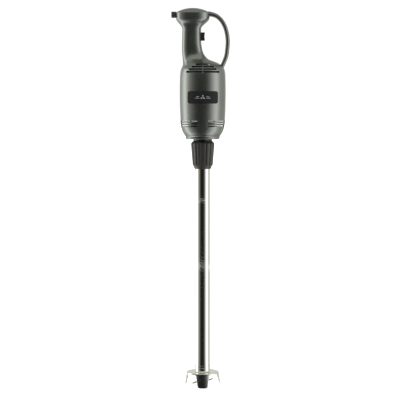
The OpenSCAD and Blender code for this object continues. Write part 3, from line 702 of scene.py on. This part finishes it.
def shoulder_cutters(side):
    def place(x, depth, z):
        return (x, side * (surface_y(x, z) - depth), z)

    for z, reach in SHOULDER_SLOTS:
        clear = 3 if reach < 20 else 9
        yield louvre(place, -reach, reach, z, SLOT_H, 1, 2.1, clear, rib=SLOT_RIB / 2)


def body_cutters(side):
    def place(angle, depth, z):
        return (*polar(section(z)[1] - depth, radians(side * 90 + angle)), z)

    for z in BODY_SLOTS:
        for end in (-1, 1):
            low, high = sorted(end * a for a in BODY_SLOT_SPAN)
            yield louvre(place, low, high, z, BODY_SLOT_H, radians(body_r - 2), 0.4, 4)


def gland_cutters():
    """Hole for the gland's neck, and the wider bore inside it for its flange."""
    clear, outside, neck_end, bore_end = 0.08, -80, -50, -45
    for x1, x2, r in ((outside, neck_end, GLAND_NECK_R), (GLAND_FLANGE_X - 0.05, bore_end, GLAND_R)):
        ring = [polar(r + clear, a) for a in circle(48)]
        yield skin([[(x, y, gland_z + z) for y, z in ring] for x in (x1, x2)])


def screw_cutter(x, z):
    """Counterbore from the rear surface down to the screw's head, with a softened mouth."""
    rings = []
    for depth, spread in ((-4, 0.5), (0, 0.5), (0.25, 0.25), (0.6, 0.1), (None, 0.1)):
        ring = []
        for a in circle(40):
            dx, dz = polar(SCREW_HEAD_R + spread, a)
            y = SCREW_HEAD_Y if depth is None else surface_y(x + dx, z + dz) - depth
            ring.append((x + dx, y, z + dz))
        rings.append(ring)
    return skin(rings)


def rounded_rectangle(half_a, half_b, radius, steps=6):
    return fillet([(a * half_a, b * half_b, radius) for a, b in CORNERS], steps)


TRIGGER_GAP = 0.35
FLANGE_Y, FLANGE_Z = 1.6, 3  # how far the trigger's retaining flange reaches past the button
gland_z = mid_z(GLAND)
trigger_z = mid_z(TRIGGER)
trigger_h = TRIGGER[1].z - TRIGGER[0].z - 2 * FLANGE_Z
trigger_w = TRIGGER[1].y - TRIGGER[0].y - 2 * FLANGE_Y


def trigger_window():
    face = surface_x(4, section(trigger_z), 1)
    rings = []
    for x, grow in ((-14, 0), (face - 0.9, 0), (face - 0.35, 0.18), (face + 0.1, 0.6), (face + 6, 0.6)):
        half_y, half_z = trigger_w / 2 + TRIGGER_GAP + grow, trigger_h / 2 + TRIGGER_GAP + grow
        rings.append([(x, y, trigger_z + z) for y, z in rounded_rectangle(half_y, half_z, 2.2 + grow)])
    return skin(rings)


# ---- hoop handle

HOOP = [
    (12.9, 302.3), (22, 301.2), (35, 296), (47.4, 283), (56, 264), (60, 240), (59, 219),
    (55.8, 199), (45, 173),
]
HOOP_W = 10.4
HOOP_ROOT_W = 13
HOOP_ROOT_SPANS = 2.6
HOOP_DEPTH = 24
HOOP_STEPS = 14


def hoop_path():
    """Catmull-Rom points through HOOP."""
    path = []
    for i in range(len(HOOP) - 1):
        a, b, c, d = (Vector(HOOP[min(len(HOOP) - 1, max(0, i + k))]) for k in (-1, 0, 1, 2))
        for k in range(HOOP_STEPS):
            t = k / HOOP_STEPS
            bend, twist = 2 * a - 5 * b + 4 * c - d, 3 * b - a - 3 * c + d
            path.append(0.5 * (2 * b + (c - a) * t + bend * t**2 + twist * t**3))
    return path + [Vector(HOOP[-1])]


def hoop_solid(clear=0.0):
    """The bar is a rounded rectangle in section, a little fuller outside its path than inside."""
    path = hoop_path()
    n = len(path) - 1
    outer, inner, squareness = 0.56, 0.44, 0.75
    rings = []
    for i, at in enumerate(path):
        along = (path[min(n, i + 1)] - path[max(0, i - 1)]).normalized()
        root = max(0, 1 - i / (HOOP_ROOT_SPANS * HOOP_STEPS)) ** 1.5
        w = HOOP_W + (HOOP_ROOT_W - HOOP_W) * root
        ring = []
        for a in circle(64):
            c, s = signed_pow(cos(a), squareness), signed_pow(sin(a), squareness)
            u = (w * (outer if c > 0 else inner) + clear) * c
            ring.append((at.x - along.y * u, (HOOP_DEPTH / 2 + clear) * s, at.y + along.x * u))
        rings.append(ring)
    return skin(rings)


# ---- pieces of the power unit


def housing_half(node, side):
    made = skin([half_outline(section(z), z, side) for z in shell_heights()])
    cut(made, hollow_solid(), hoop_solid(0.22), trigger_window())
    cut(made, *shoulder_cutters(side), *body_cutters(side), *gland_cutters())
    if side > 0:
        cut(made, *(screw_cutter(*s) for s in SCREWS))
    finish_piece(made, "power_unit", "housing_plastic", node, sharp=28)


def screw_piece():
    """Pan heads with a cross recess, and their shanks. Each is turned round Z, then laid along Y."""
    low, high = (corner.y for corner in box_mm("housing_screws"))
    shank_r, recess_depth = 1.7, 1.5
    outline = fillet([
        (0, high), (0, low), (shank_r, low, 0.4), (shank_r, SCREW_HEAD_Y),
        (SCREW_HEAD_R, SCREW_HEAD_Y, 0.3), (SCREW_HEAD_R, high, 1.3),
    ])
    parts = []
    for x, z in SCREWS:
        head = revolve(outline, 48)
        for angle in (0, pi / 2):
            cut(head, skin([
                [(*spun(*p, angle), level) for p in rounded_rectangle(wide, 0.42, 0.3, 3)]
                for level, wide in ((high - recess_depth, 0.9), (high + 1, 2.2))
            ]))
        reshape(head, lambda vx, vy, vz: (vx + x * MM, vz, z * MM - vy))
        parts.append(head)
    finish_piece(join(parts), "power_unit", "zinc_steel", "housing_screws")


FLANGE_TOP = 1  # where the spigot's flange meets the cap


def turned_piece(node, outline, sides, body, slot):
    finish_piece(revolve(outline, sides), body, slot, node)


def end_cap():
    pilot_r, recess_r, bore_r, bearing_r, rim_r, flange_r = 18, 23.2, 8, 13, 41.6, 43.8
    floor_z, web_z, flange_z, deck_z = 6, 8, 18, 20
    rim_fillet = 6.1
    skirt_seat_z = skirt_z - 0.05
    lip_r = body_r - 11.6
    inner_r = MOUTH_R - 0.2
    outline = fillet([
        (pilot_r, floor_z), (pilot_r, FLANGE_TOP), (recess_r, FLANGE_TOP), (recess_r, 0, 0.3),
        (rim_r, 0, rim_fillet), (rim_r + 0.1, rim_fillet + 0.1, 0.05), (lip_r, skirt_z - 1.2, 1),
        (lip_r - 0.7, skirt_seat_z, 0.3), (inner_r, skirt_seat_z), (inner_r, flange_z),
        (flange_r, flange_z), (flange_r, deck_z), (bearing_r, deck_z), (bearing_r, web_z),
        (bore_r, web_z), (bore_r, floor_z),
    ], 8)
    turned_piece("end_cap", outline, 192, "power_unit", "cap_plastic")


THREAD_PITCH = 5


def thread_ridge(root_r, crest_r, start_z, turns):
    """Trapezoid ridge wound round Z, sunk at both of its ends."""
    per_turn, run_out, sunk = 72, 8, 0.12
    half_root, half_crest = 1.5, 0.8
    last = turns * per_turn
    rings = []
    for i in range(int(last) + 1):
        z = start_z + THREAD_PITCH * i / per_turn
        crest = root_r + (crest_r - root_r) * max(sunk, min(1, i / run_out, (last - i) / run_out))
        lower = [
            (root_r, -half_root), (lerp(root_r, crest, 0.9), -half_crest - 0.1), (crest, 0.15 - half_crest),
        ]
        ring = lower + [(r, -dz) for r, dz in lower[::-1]]
        rings.append([(*polar(r, 2 * pi * i / per_turn), z + dz) for r, dz in ring])
    return skin(rings)


def spigot():
    bore_r, root_r, crest_r, flange_r, pilot_r = 13.5, 19.8, 21.25, 23, 18
    flange_z, pilot_z = -4.2, 5.9
    end_z = SPIGOT[0].z
    outline = fillet([
        (bore_r, end_z, 0.4), (root_r, end_z, 0.9), (root_r, flange_z, 0.5), (flange_r, flange_z, 0.9),
        (flange_r, FLANGE_TOP), (pilot_r, FLANGE_TOP), (pilot_r, pilot_z), (bore_r, pilot_z),
    ])
    made = revolve(outline, 144)
    combine(made, thread_ridge(root_r - 0.4, crest_r, -31.5, 4), "UNION")
    finish_piece(made, "power_unit", "spigot_plastic", "threaded_spigot")


def plate(stations, place, thick, edge, both=False):
    """Curved plate with rounded edges: stations are (distance along, half width), place maps
    (along, across, up) to a point, and up runs from 0 to thick. both rounds the underside too."""
    rings = []
    for along, half in stations:
        e = min(edge, half * 0.9)
        low = e if both else 0
        ring = []
        corners = [(-half, 0, low), (half, 0, low), (half, thick, e), (-half, thick, e)]
        edge_points = fillet(corners, 4)
        for k, (a, up) in enumerate(edge_points):
            b, up_b = edge_points[(k + 1) % len(edge_points)]
            ring.append((a, up))
            parts = 18 if abs(b - a) > half else 1
            ring += [(lerp(a, b, j / parts), lerp(up, up_b, j / parts)) for j in range(1, parts)]
        rings.append([place(along, a, up) for a, up in ring])
    return skin(rings)


def rounded_stations(half_len, half_w, corner, count):
    """Stations of a rectangle with round corners, closed softly at both ends."""
    stations = []
    for i in range(count + 1):
        t = sin(pi * (i / count - 0.5))
        along = (half_len - 0.02) * t
        over = max(0, abs(along) - (half_len - corner)) / corner
        stations.append((along, half_w - corner * (1 - sqrt(max(0, 1 - over**2)))))
    return stations


plate_z = mid_z(PLATE)


def on_body(x, z, up, radius):
    """Point of the nameplate's cylinder, x across and z up, raised by up."""
    r = radius + up
    return (x * r / plate_r, -sqrt(r**2 - (x * r / plate_r) ** 2), z)


def nameplate():
    half_w, half_h = (PLATE[1].x - PLATE[0].x) / 2, (PLATE[1].z - PLATE[0].z) / 2
    base_r = body_r - 1.4
    made = plate(
        rounded_stations(half_w - 0.05, half_h, 5, 72),
        lambda x, z, up: on_body(x, plate_z + z, up, base_r),
        plate_r - base_r, 0.3,
    )
    finish_piece(made, "power_unit", "nameplate_film", "nameplate")


def nameplate_mark():
    """A generic mark of three vanes between two pairs of bars."""
    raised, sunk = 0.04, 0.25
    base = plate_r - sunk

    def strip(stations, angle, x0, z0):
        def place(along, across, up):
            x, z = spun(along, across, angle)
            return on_body(x0 + x, plate_z + z0 + z, up, base)

        return plate(stations, place, sunk + raised, 0.03)

    steps = [k / 16 for k in range(17)]
    vane = [(1.1 + 4.9 * t, 0.25 + 1.5 * sin(pi * t**0.8) ** 0.8) for t in steps]
    parts = [strip(vane, radians(90 + 120 * k), 0, 0) for k in range(3)]
    for side in (-1, 1):
        for row, half in ((1.9, 3.6), (-1.9, 5.1)):
            parts.append(strip(rounded_stations(half, 0.6, 0.59, 20), 0, side * (8.6 + half), row))
    mark = join(parts)
    mark.name = "nameplate_mark"
    look = moulded("mark_print", (0.34, 0.34, 0.35), 0.45, grain=0.001, wear=1.0)
    finish_piece(mark, "power_unit", "nameplate_film", look=look)


def hoop():
    finish_piece(hoop_solid(), "power_unit", "hoop_plastic", "hoop_handle")


def cord_gland():
    """Ribbed rubber gland, turned round Z, then laid along X."""
    tip, end = GLAND[0].x, GLAND[1].x
    bore_r, waist_r, ribs, pitch = 4.2, GLAND_R - 0.8, 5, 2.2
    outer_wall, inner_wall = -65.1 - tip, GLAND_FLANGE_X - tip
    corners = [(bore_r, 0, 0.5)]
    for i in range(ribs):
        z = i * pitch
        corners += [
            (GLAND_R, z + 0.05, 0.5), (GLAND_R, z + 1.5, 0.35),
            (waist_r, z + 1.65, 0.15), (waist_r, z + 2.05, 0.15),
        ]
    corners += [
        (GLAND_R, outer_wall), (GLAND_NECK_R, outer_wall), (GLAND_NECK_R, inner_wall),
        (GLAND_R, inner_wall), (GLAND_R, end - tip), (bore_r, end - tip),
    ]
    made = revolve(fillet(corners, 4), 96)
    reshape(made, lambda x, y, z: (z + tip * MM, y, gland_z * MM - x))
    finish_piece(made, "power_unit", "soft_black", "cord_gland")


def trigger():
    """Button hollowed a little for the finger, on its retaining flange."""
    back, tip = TRIGGER[0].x, TRIGGER[1].x
    half, corner_r, hollow, flange_t = trigger_h / 2, 2.2, 1.1, 2
    corners = [(back, -half), (tip, -half, corner_r)]
    corners += [(tip - hollow * (1 - (t / 8) ** 2), t / 10 * half) for t in range(-6, 7)]
    corners += [(tip, half, corner_r), (back, half)]
    outline = fillet(corners, 8)
    # How far out across the width, and how far the outline is drawn in there
    flank = [(1, 1.0), (0.985, 0.55), (0.93, 0.15), (0.87, 0)]
    rings = [
        [(min(x, tip - inset), y * trigger_w / 2, trigger_z + z * (1 - inset / half)) for x, z in outline]
        for y, inset in [(-y, inset) for y, inset in flank] + flank[::-1]
    ]
    edge = rounded_rectangle(trigger_w / 2 + FLANGE_Y, half + FLANGE_Z, 1.5)
    flange = skin([[(x, y, trigger_z + z) for y, z in edge] for x in (back, back + flange_t)])
    made = unite([skin(rings), flange])
    finish_piece(made, "trigger_unit", "trigger_plastic", "trigger", sharp=32)


def trigger_spring():
    """Coil that the trigger presses against the switch. It keeps one length, though the real one shortens
    as the trigger goes in.
    """
    travel, wire_r, turns, per_turn = 4, 0.35, 3, 28
    made_r = wire_r - 0.01
    low, high = SPRING
    coil_r = (high.y - low.y) / 2 - wire_r
    x1, x2 = low.x + wire_r, high.x - wire_r
    centre_z = mid_z(SPRING)
    rings = []
    for i in range(turns * per_turn + 1):
        t = i / (turns * per_turn)
        flat = (smoothstep(0, 0.2, t) + smoothstep(0.8, 1, t)) / 2
        x = lerp(x1, x2, lerp(t, flat, 0.15))
        ring = []
        for b in circle(8):
            y, z = polar(coil_r + made_r * cos(b), 2 * pi * turns * t)
            ring.append((x + made_r * sin(b), y, centre_z + z))
        rings.append(ring)
    made = skin(rings)
    finish_piece(made, "power_unit", "ground_steel", "trigger_spring", look=LOOKS["zinc_steel"])
    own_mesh(made)


# ---- pieces of the shaft

FLUTES = 14
FLUTE_TURN = radians(17.7 - 90)


def coupling_collar():
    """Fluted union collar: convex lands between narrow grooves, threaded inside."""
    end_z, top, widest = COLLAR[0].z, COLLAR[1].z, COLLAR[1].x
    crest_r, bore_r, grip_r, grip_rows = 21.6, tube_r + 0.3, 24.95, 44
    shoulder_z = TUBE[1].z - 1.3
    low_z, high_z = end_z + 7.8, top - 7
    outline = fillet([
        (bore_r, end_z, 0.4), (20, end_z, 0.8), (22.7, low_z, 0.3), (24.6, low_z + 0.6, 0.7),
        (grip_r, low_z + 2, 0.6),
    ], 4)
    for i in range(grip_rows + 1):
        t = i / grip_rows
        outline.append((lerp(grip_r, widest, t), lerp(low_z + 2.6, high_z, t)))
    crown = ((0.12, 0.9), (0.55, 1.8), (1.2, 2.6), (2.5, 3.9), (3.9, 5.3), (5, 6.4))
    outline += [(widest - drop, high_z + up) for drop, up in crown]
    outline += [
        (23.7, top - 0.2), (23.3, top), (crest_r + 0.3, top), (crest_r, top - 0.3),
        (crest_r, shoulder_z), (bore_r, shoulder_z),
    ]
    spacing = 2 * pi / FLUTES
    smallest_fluted, groove_w, groove_depth, land_drop = 22.8, 1.25, 1.25, 0.75

    def fluted(r, z, angle):
        if r < smallest_fluted or z <= low_z + 0.01:
            return r
        off = abs((angle - FLUTE_TURN + spacing / 2) % spacing - spacing / 2)
        t = off / (spacing / 2)
        ends = smoothstep(low_z + 0.2, low_z + 2.5, z) * (1 - smoothstep(high_z + 1.5, high_z + 6, z))
        groove = groove_depth * exp(-((off * r / groove_w) ** 2)) + land_drop * (1 - t) ** 2
        return r - groove * ends

    made = revolve(outline, FLUTES * 40, fluted)
    combine(made, thread_ridge(crest_r + 0.3, 20.15, -29, 2.5), "UNION")
    finish_piece(made, "collar", "collar_plastic", "coupling_collar", sharp=40)


def shaft_tube():
    """Tube with a fine turned line round it."""
    line_z, line_r, bore_r, top = -155, tube_r - 0.3, tube_r - 1.2, TUBE[1].z
    outline = fillet([
        (bore_r, hub_top_z), (tube_r, hub_top_z, 0.25), (tube_r, line_z - 0.5, 0.2),
        (line_r, line_z - 0.25, 0.1), (line_r, line_z + 0.25, 0.1), (tube_r, line_z + 0.5, 0.2),
        (tube_r, top, 0.2), (bore_r, top),
    ], 3)
    turned_piece("shaft_tube", outline, 192, "mixing_shaft", "polished_stainless")


def guard():
    """Hub, disc and four formed feet."""
    hub_r, guard_r, bush_r, seal_r, plug_r, sheet = 18.4, 40, 9, 11, tube_r - 1.2, 2
    plug_z, under_z, rim_z = hub_top_z + 18, disc_top_z - sheet, disc_top_z - 4.2
    seal_z, boss_z = disc_top_z + 3.5, disc_top_z - sheet - 2.4
    line_z = feet_z + 44.7
    outline = fillet([
        (bush_r, plug_z), (plug_r, plug_z), (plug_r, hub_top_z + 0.02), (hub_r, hub_top_z - 0.02, 0.35),
        (hub_r, line_z + 0.4, 0.25), (hub_r - 0.35, line_z, 0.1), (hub_r, line_z - 0.4, 0.25),
        (hub_r, disc_top_z, 4.2), (guard_r, disc_top_z, 4), (guard_r, rim_z, 0.1),
        (guard_r - 1.9, rim_z, 0.4), (guard_r - 2.9, under_z, 0.8), (16, under_z, 1.2),
        (14.2, boss_z, 0.6), (seal_r, boss_z, 0.3), (seal_r, seal_z), (bush_r, seal_z),
    ], 8)
    parts = [revolve(outline, 192)]
    root_half, toe_half, toe_r, rows = 17.2, 11.75, 4, 48
    start_z = rim_z + 0.7
    drop = start_z - feet_z
    stations = []
    for i in range(rows + 1):
        t = sin(pi / 2 * i / rows)
        over = max(0, t * drop - (drop - toe_r)) / toe_r
        narrowed = toe_r * (1 - sqrt(max(0, 1 - over**2))) * 0.98
        stations.append((t * drop, lerp(root_half, toe_half, t) - narrowed))
    for angle in circle(4):

        def place(along, across, up, angle=angle):
            z = start_z - along
            r = lerp(guard_r, feet_r, (rim_z - z) / (rim_z - feet_z)) - sheet + up - 0.03
            return (*spun(sqrt(r**2 - across**2), across, angle), z)

        parts.append(plate(stations, place, sheet, 0.55, both=True))
    finish_piece(unite(parts), "mixing_shaft", "satin_stainless", "bell_guard")


def blade():
    """Two wings bent opposite ways, ground to an edge, on a flat centre."""
    tip_r, rise, bend_x, thick, rows = 28.5, 4, 13, 2, 60
    h = thick / 2
    root_lead, root_trail, kink_x, kink_trail = -7, 7, 16, 5.5
    blade_z = mid_z(BLADE)
    arc_x, arc_y, arc_r = tip_r - 4, -2, 4
    parts = []
    for side in (1, -1):
        rings = []
        for i in range(rows + 1):
            x = (tip_r - 0.03) * sin(pi / 2 * i / rows)
            over = max(0, x - arc_x)
            round_y = sqrt(max(0, arc_r**2 - over**2))
            lead = root_lead + 1.54 * x / 26.5
            if x < kink_x:
                trail = root_trail - 1.5 * x / kink_x
            else:
                trail = kink_trail - 4.93 * (x - kink_x) / 11.56
            if over > 0:
                lead, trail = max(lead, arc_y - round_y), min(trail, arc_y + round_y)
            lift = rise * smoothstep(bend_x - 2, 2 * tip_r - bend_x + 2, x) * 2
            ground = smoothstep(8.5, 12, x)
            grind = min(4.5, (trail - lead) * 0.45) * ground
            ring = [
                (lead, -h + 0.05), (lead, lerp(h, -h + 0.25, ground)), (lead + grind + 0.02, h),
                (trail - 0.3, h), (trail, h - 0.3), (trail, -h + 0.3), (trail - 0.3, -h), (lead + 0.1, -h),
            ]
            rings.append([(side * x, side * y, blade_z + side * (z + lift)) for y, z in ring])
        parts.append(skin(rings))
    hub = fillet([(0, blade_z - h), (8, blade_z - h, 0.3), (8, blade_z + h, 0.3), (0, blade_z + h)])
    made = unite([*parts, revolve(hub, 72)])
    reshape(made, lambda x, y, z: (*spun(x, y, radians(30)), z))
    finish_piece(made, "spindle", "blade_steel", "blade", sharp=24)


def blade_nut():
    """Hexagon nut with turned corners and a low dome."""
    low, high, corner_r, dome_h, per_side = NUT[0].z, NUT[1].z, 6.6, 1.1, 6
    corners = [polar(corner_r, radians(60 * k)) for k in range(7)]
    hexagon = [
        (lerp(x1, x2, j / per_side), lerp(y1, y2, j / per_side))
        for (x1, y1), (x2, y2) in zip(corners, corners[1:]) for j in range(per_side)
    ]

    def clipped(x, y, limit):
        """The hexagon's corners are turned down to a cone of this radius."""
        k = min(1, limit / hypot(x, y))
        return x * k, y * k

    rings = [
        [(*clipped(x, y, r), z) for x, y in hexagon]
        for z, r in (
            (low, 3.4), (low + 0.35, 4.6), (low + dome_h, 5.5), (low + dome_h + 0.05, 5.75),
            (low + dome_h + 0.5, corner_r), (high - 0.5, corner_r), (high, 5.9),
        )
    ]
    finish_piece(skin(rings), "spindle", "blade_steel", "blade_nut")


def shaft_sleeve():
    """Sleeve over the drive shaft, with one turned groove."""
    low, high, r, bore_r = SLEEVE[0].z, SLEEVE[1].z, SLEEVE[1].x, 4
    groove_r = r - 0.4
    outline = fillet([
        (bore_r, low), (r, low, 0.5), (r, low + 4, 0.2), (groove_r, low + 4.3, 0.1),
        (groove_r, low + 4.9, 0.1), (r, low + 5.2, 0.2), (r, high, 0.5), (bore_r, high),
    ])
    turned_piece("shaft_sleeve", outline, 96, "spindle", "satin_stainless")


# ---- inner parts keep their CAD shape

CARRIED_OVER = {
    "inner_plastic": "cord_clamp fan_shroud dust_shield switch_body cooling_fan",
    "pale_plastic": "terminal_block switch_plunger collar_washer",
    "lead_insulation": "internal_leads",
    "circuit_board": "control_board",
    "capacitor_film": "suppression_capacitor",
    "lamination_steel": "stator_stack armature_stack",
    "copper_winding": "left_field_coil right_field_coil armature_windings commutator",
    "cast_alloy": "upper_bracket shaft_head",
    "brush_brass": "brush_holders",
    "carbon": "carbon_brushes",
    "zinc_steel": "motor_rods stator_spacers brush_springs bearing_circlip",
    "ground_steel": "lower_bearing upper_bearing head_bearing motor_shaft drive_shaft drive_dog"
    " drive_coupling",
    "bronze": "mid_bush lower_bush",
    "soft_black": "shaft_seal",
}


def dress_carried_over():
    for look, names in CARRIED_OVER.items():
        for name in names.split():
            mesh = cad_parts[name].data
            mesh.materials.clear()
            mesh.materials.append(LOOKS[look])


# ---- studio

# Brightness of the light tent round the object: degrees from the camera's side, + to the right
TENT = [
    (-180, 0.72), (-150, 0.72), (-132, 0.8), (-118, 1.2), (-110, 2.6), (-94, 2.6), (-86, 1.2), (-78, 0.8),
    (-70, 0.55), (-56, 0.3), (-41, 0.09), (-25, 0.012), (-9, 0.012), (6, 0.016), (15, 0.03), (25, 0.1),
    (33, 0.28), (41, 0.6), (49, 0.95), (58, 1.35), (66, 1.9), (80, 1.9), (88, 1.0), (98, 0.75), (120, 0.65),
    (140, 0.66), (160, 0.7), (180, 0.72),
]
TENT_R = 2.4
TENT_TOP = 1.25
# Brightness of the ceiling: metres behind the spindle axis
CEILING = [(-2.4, 0.75), (-0.5, 0.75), (-0.15, 0.5), (2.4, 0.5)]
CEILING_R = 1.9
CEILING_Z = 2.2
# Blue part of the light: the dim stops are warm, and those from NEUTRAL_FROM up nearly neutral
WARM, NEUTRAL, NEUTRAL_FROM = 0.88, 0.97, 0.9


def glow_look(name, stops, source):
    """Emission graded by the azimuth round the object or by the depth behind it."""
    look = Tree(name)
    look.tree.nodes.clear()
    low, high = stops[0][0], stops[-1][0]
    white = max(value for where, value in stops)
    split = look.add("ShaderNodeSeparateXYZ")
    look.link(look.add("ShaderNodeTexCoord").outputs["Object"], split.inputs[0])
    if source == "azimuth":
        angle = look.math("ARCTAN2", split.outputs[0], look.math("MULTIPLY", split.outputs[1], -1))
        spread = look.between(angle, 0, 1, radians(low), radians(high))
    else:
        spread = look.between(split.outputs[1], 0, 1, low, high)
    ramp = look.add("ShaderNodeValToRGB")
    glow = look.add("ShaderNodeEmission", Strength=white)
    look.link(spread, ramp.inputs[0])
    look.link(ramp.outputs[0], glow.inputs[0])
    look.link(glow.outputs[0], look.add("ShaderNodeOutputMaterial").inputs[0])
    marks = ramp.color_ramp.elements
    marks.remove(marks[-1])
    for k, (where, value) in enumerate(stops):
        at = (where - low) / (high - low)
        mark = marks[0] if k == 0 else marks.new(at)
        mark.position = at
        v = value / white
        mark.color = (v, v, v * (WARM if value < NEUTRAL_FROM else NEUTRAL), 1)
    return look.material


def studio_card(name, rings, material, diffuse):
    """Round card of light about the spindle axis, from (radius, z) rings in metres. The camera doesn't
    see it, and diffuse says whether it also lights what isn't glossy."""
    sides = 180
    points = [(*polar(r, a), z) for r, z in rings for a in circle(sides)]
    mesh = bpy.data.meshes.new(name)
    mesh.from_pydata(points, [], ring_faces(len(rings), sides))
    mesh.materials.append(material)
    card = place_object(name, mesh)
    card.visible_camera = card.visible_shadow = card.visible_transmission = False
    card.visible_diffuse = diffuse


def light_tent():
    """Curtain of graded light round the object, the same light on the floor, and a ceiling."""
    floor = feet_z * MM
    graded = glow_look("light_tent", TENT, "azimuth")
    studio_card("light_tent", [(TENT_R, floor + 0.01), (TENT_R, TENT_TOP)], graded, True)
    studio_card("light_floor", [(r, floor - 0.0001) for r in (0.02, TENT_R)], graded, False)
    above = glow_look("light_ceiling", CEILING, "depth")
    dome = [(TENT_R, TENT_TOP), (CEILING_R, CEILING_Z), (0.001, CEILING_Z)]
    studio_card("light_ceiling", dome, above, False)


FLOOR_REACH = 40
FLOOR_GLOW = 0.65
WORLD_LIGHT = 1.05


def floor_and_world():
    mesh = bpy.data.meshes.new("floor")
    z = feet_z * MM - 0.0002
    mesh.from_pydata([(x * FLOOR_REACH, y * FLOOR_REACH, z) for x, y in CORNERS], [], [(0, 1, 2, 3)])
    place_object("floor", mesh)
    white = (1, 1, 1, 1)
    look = Look("floor", Roughness=0.6, Specular_IOR_Level=0.2, Emission_Color=white)
    look.shader.inputs["Emission Strength"].default_value = FLOOR_GLOW
    paper = look.noise(8, 3)
    look.colour(look.blend(paper, (0.93, 0.93, 0.93), (0.95, 0.95, 0.95)))
    mesh.materials.append(look.material)
    world = bpy.data.worlds.new("studio")
    world.use_nodes = True
    background = world.node_tree.nodes["Background"]
    background.inputs[0].default_value = white
    background.inputs[1].default_value = WORLD_LIGHT
    scene.world = world


# The photograph's viewpoint: nearly level, a little above the middle of the object
CAMERA_DISTANCE = 3.55
CAMERA_Z = 0.094
AIM = Vector((-0.0066, 0, -0.149))
FIELD_OF_VIEW = radians(15.65)


def camera():
    data = bpy.data.cameras.new("camera")
    data.sensor_width = 36
    data.lens = data.sensor_width / 2 / tan(FIELD_OF_VIEW / 2)
    data.clip_end = 200
    made = place_object("camera", data)
    made.location = (AIM.x, -CAMERA_DISTANCE, CAMERA_Z)
    made.rotation_euler = (AIM - made.location).to_track_quat("-Z", "Y").to_euler()
    scene.camera = made


camera()
floor_and_world()
light_tent()
scene.view_settings.view_transform = "Standard"

housing_half("front_housing", -1)
housing_half("rear_housing", 1)
screw_piece()
end_cap()
spigot()
nameplate()
nameplate_mark()
hoop()
cord_gland()
trigger()
trigger_spring()
coupling_collar()
shaft_tube()
guard()
blade()
blade_nut()
shaft_sleeve()
dress_carried_over()
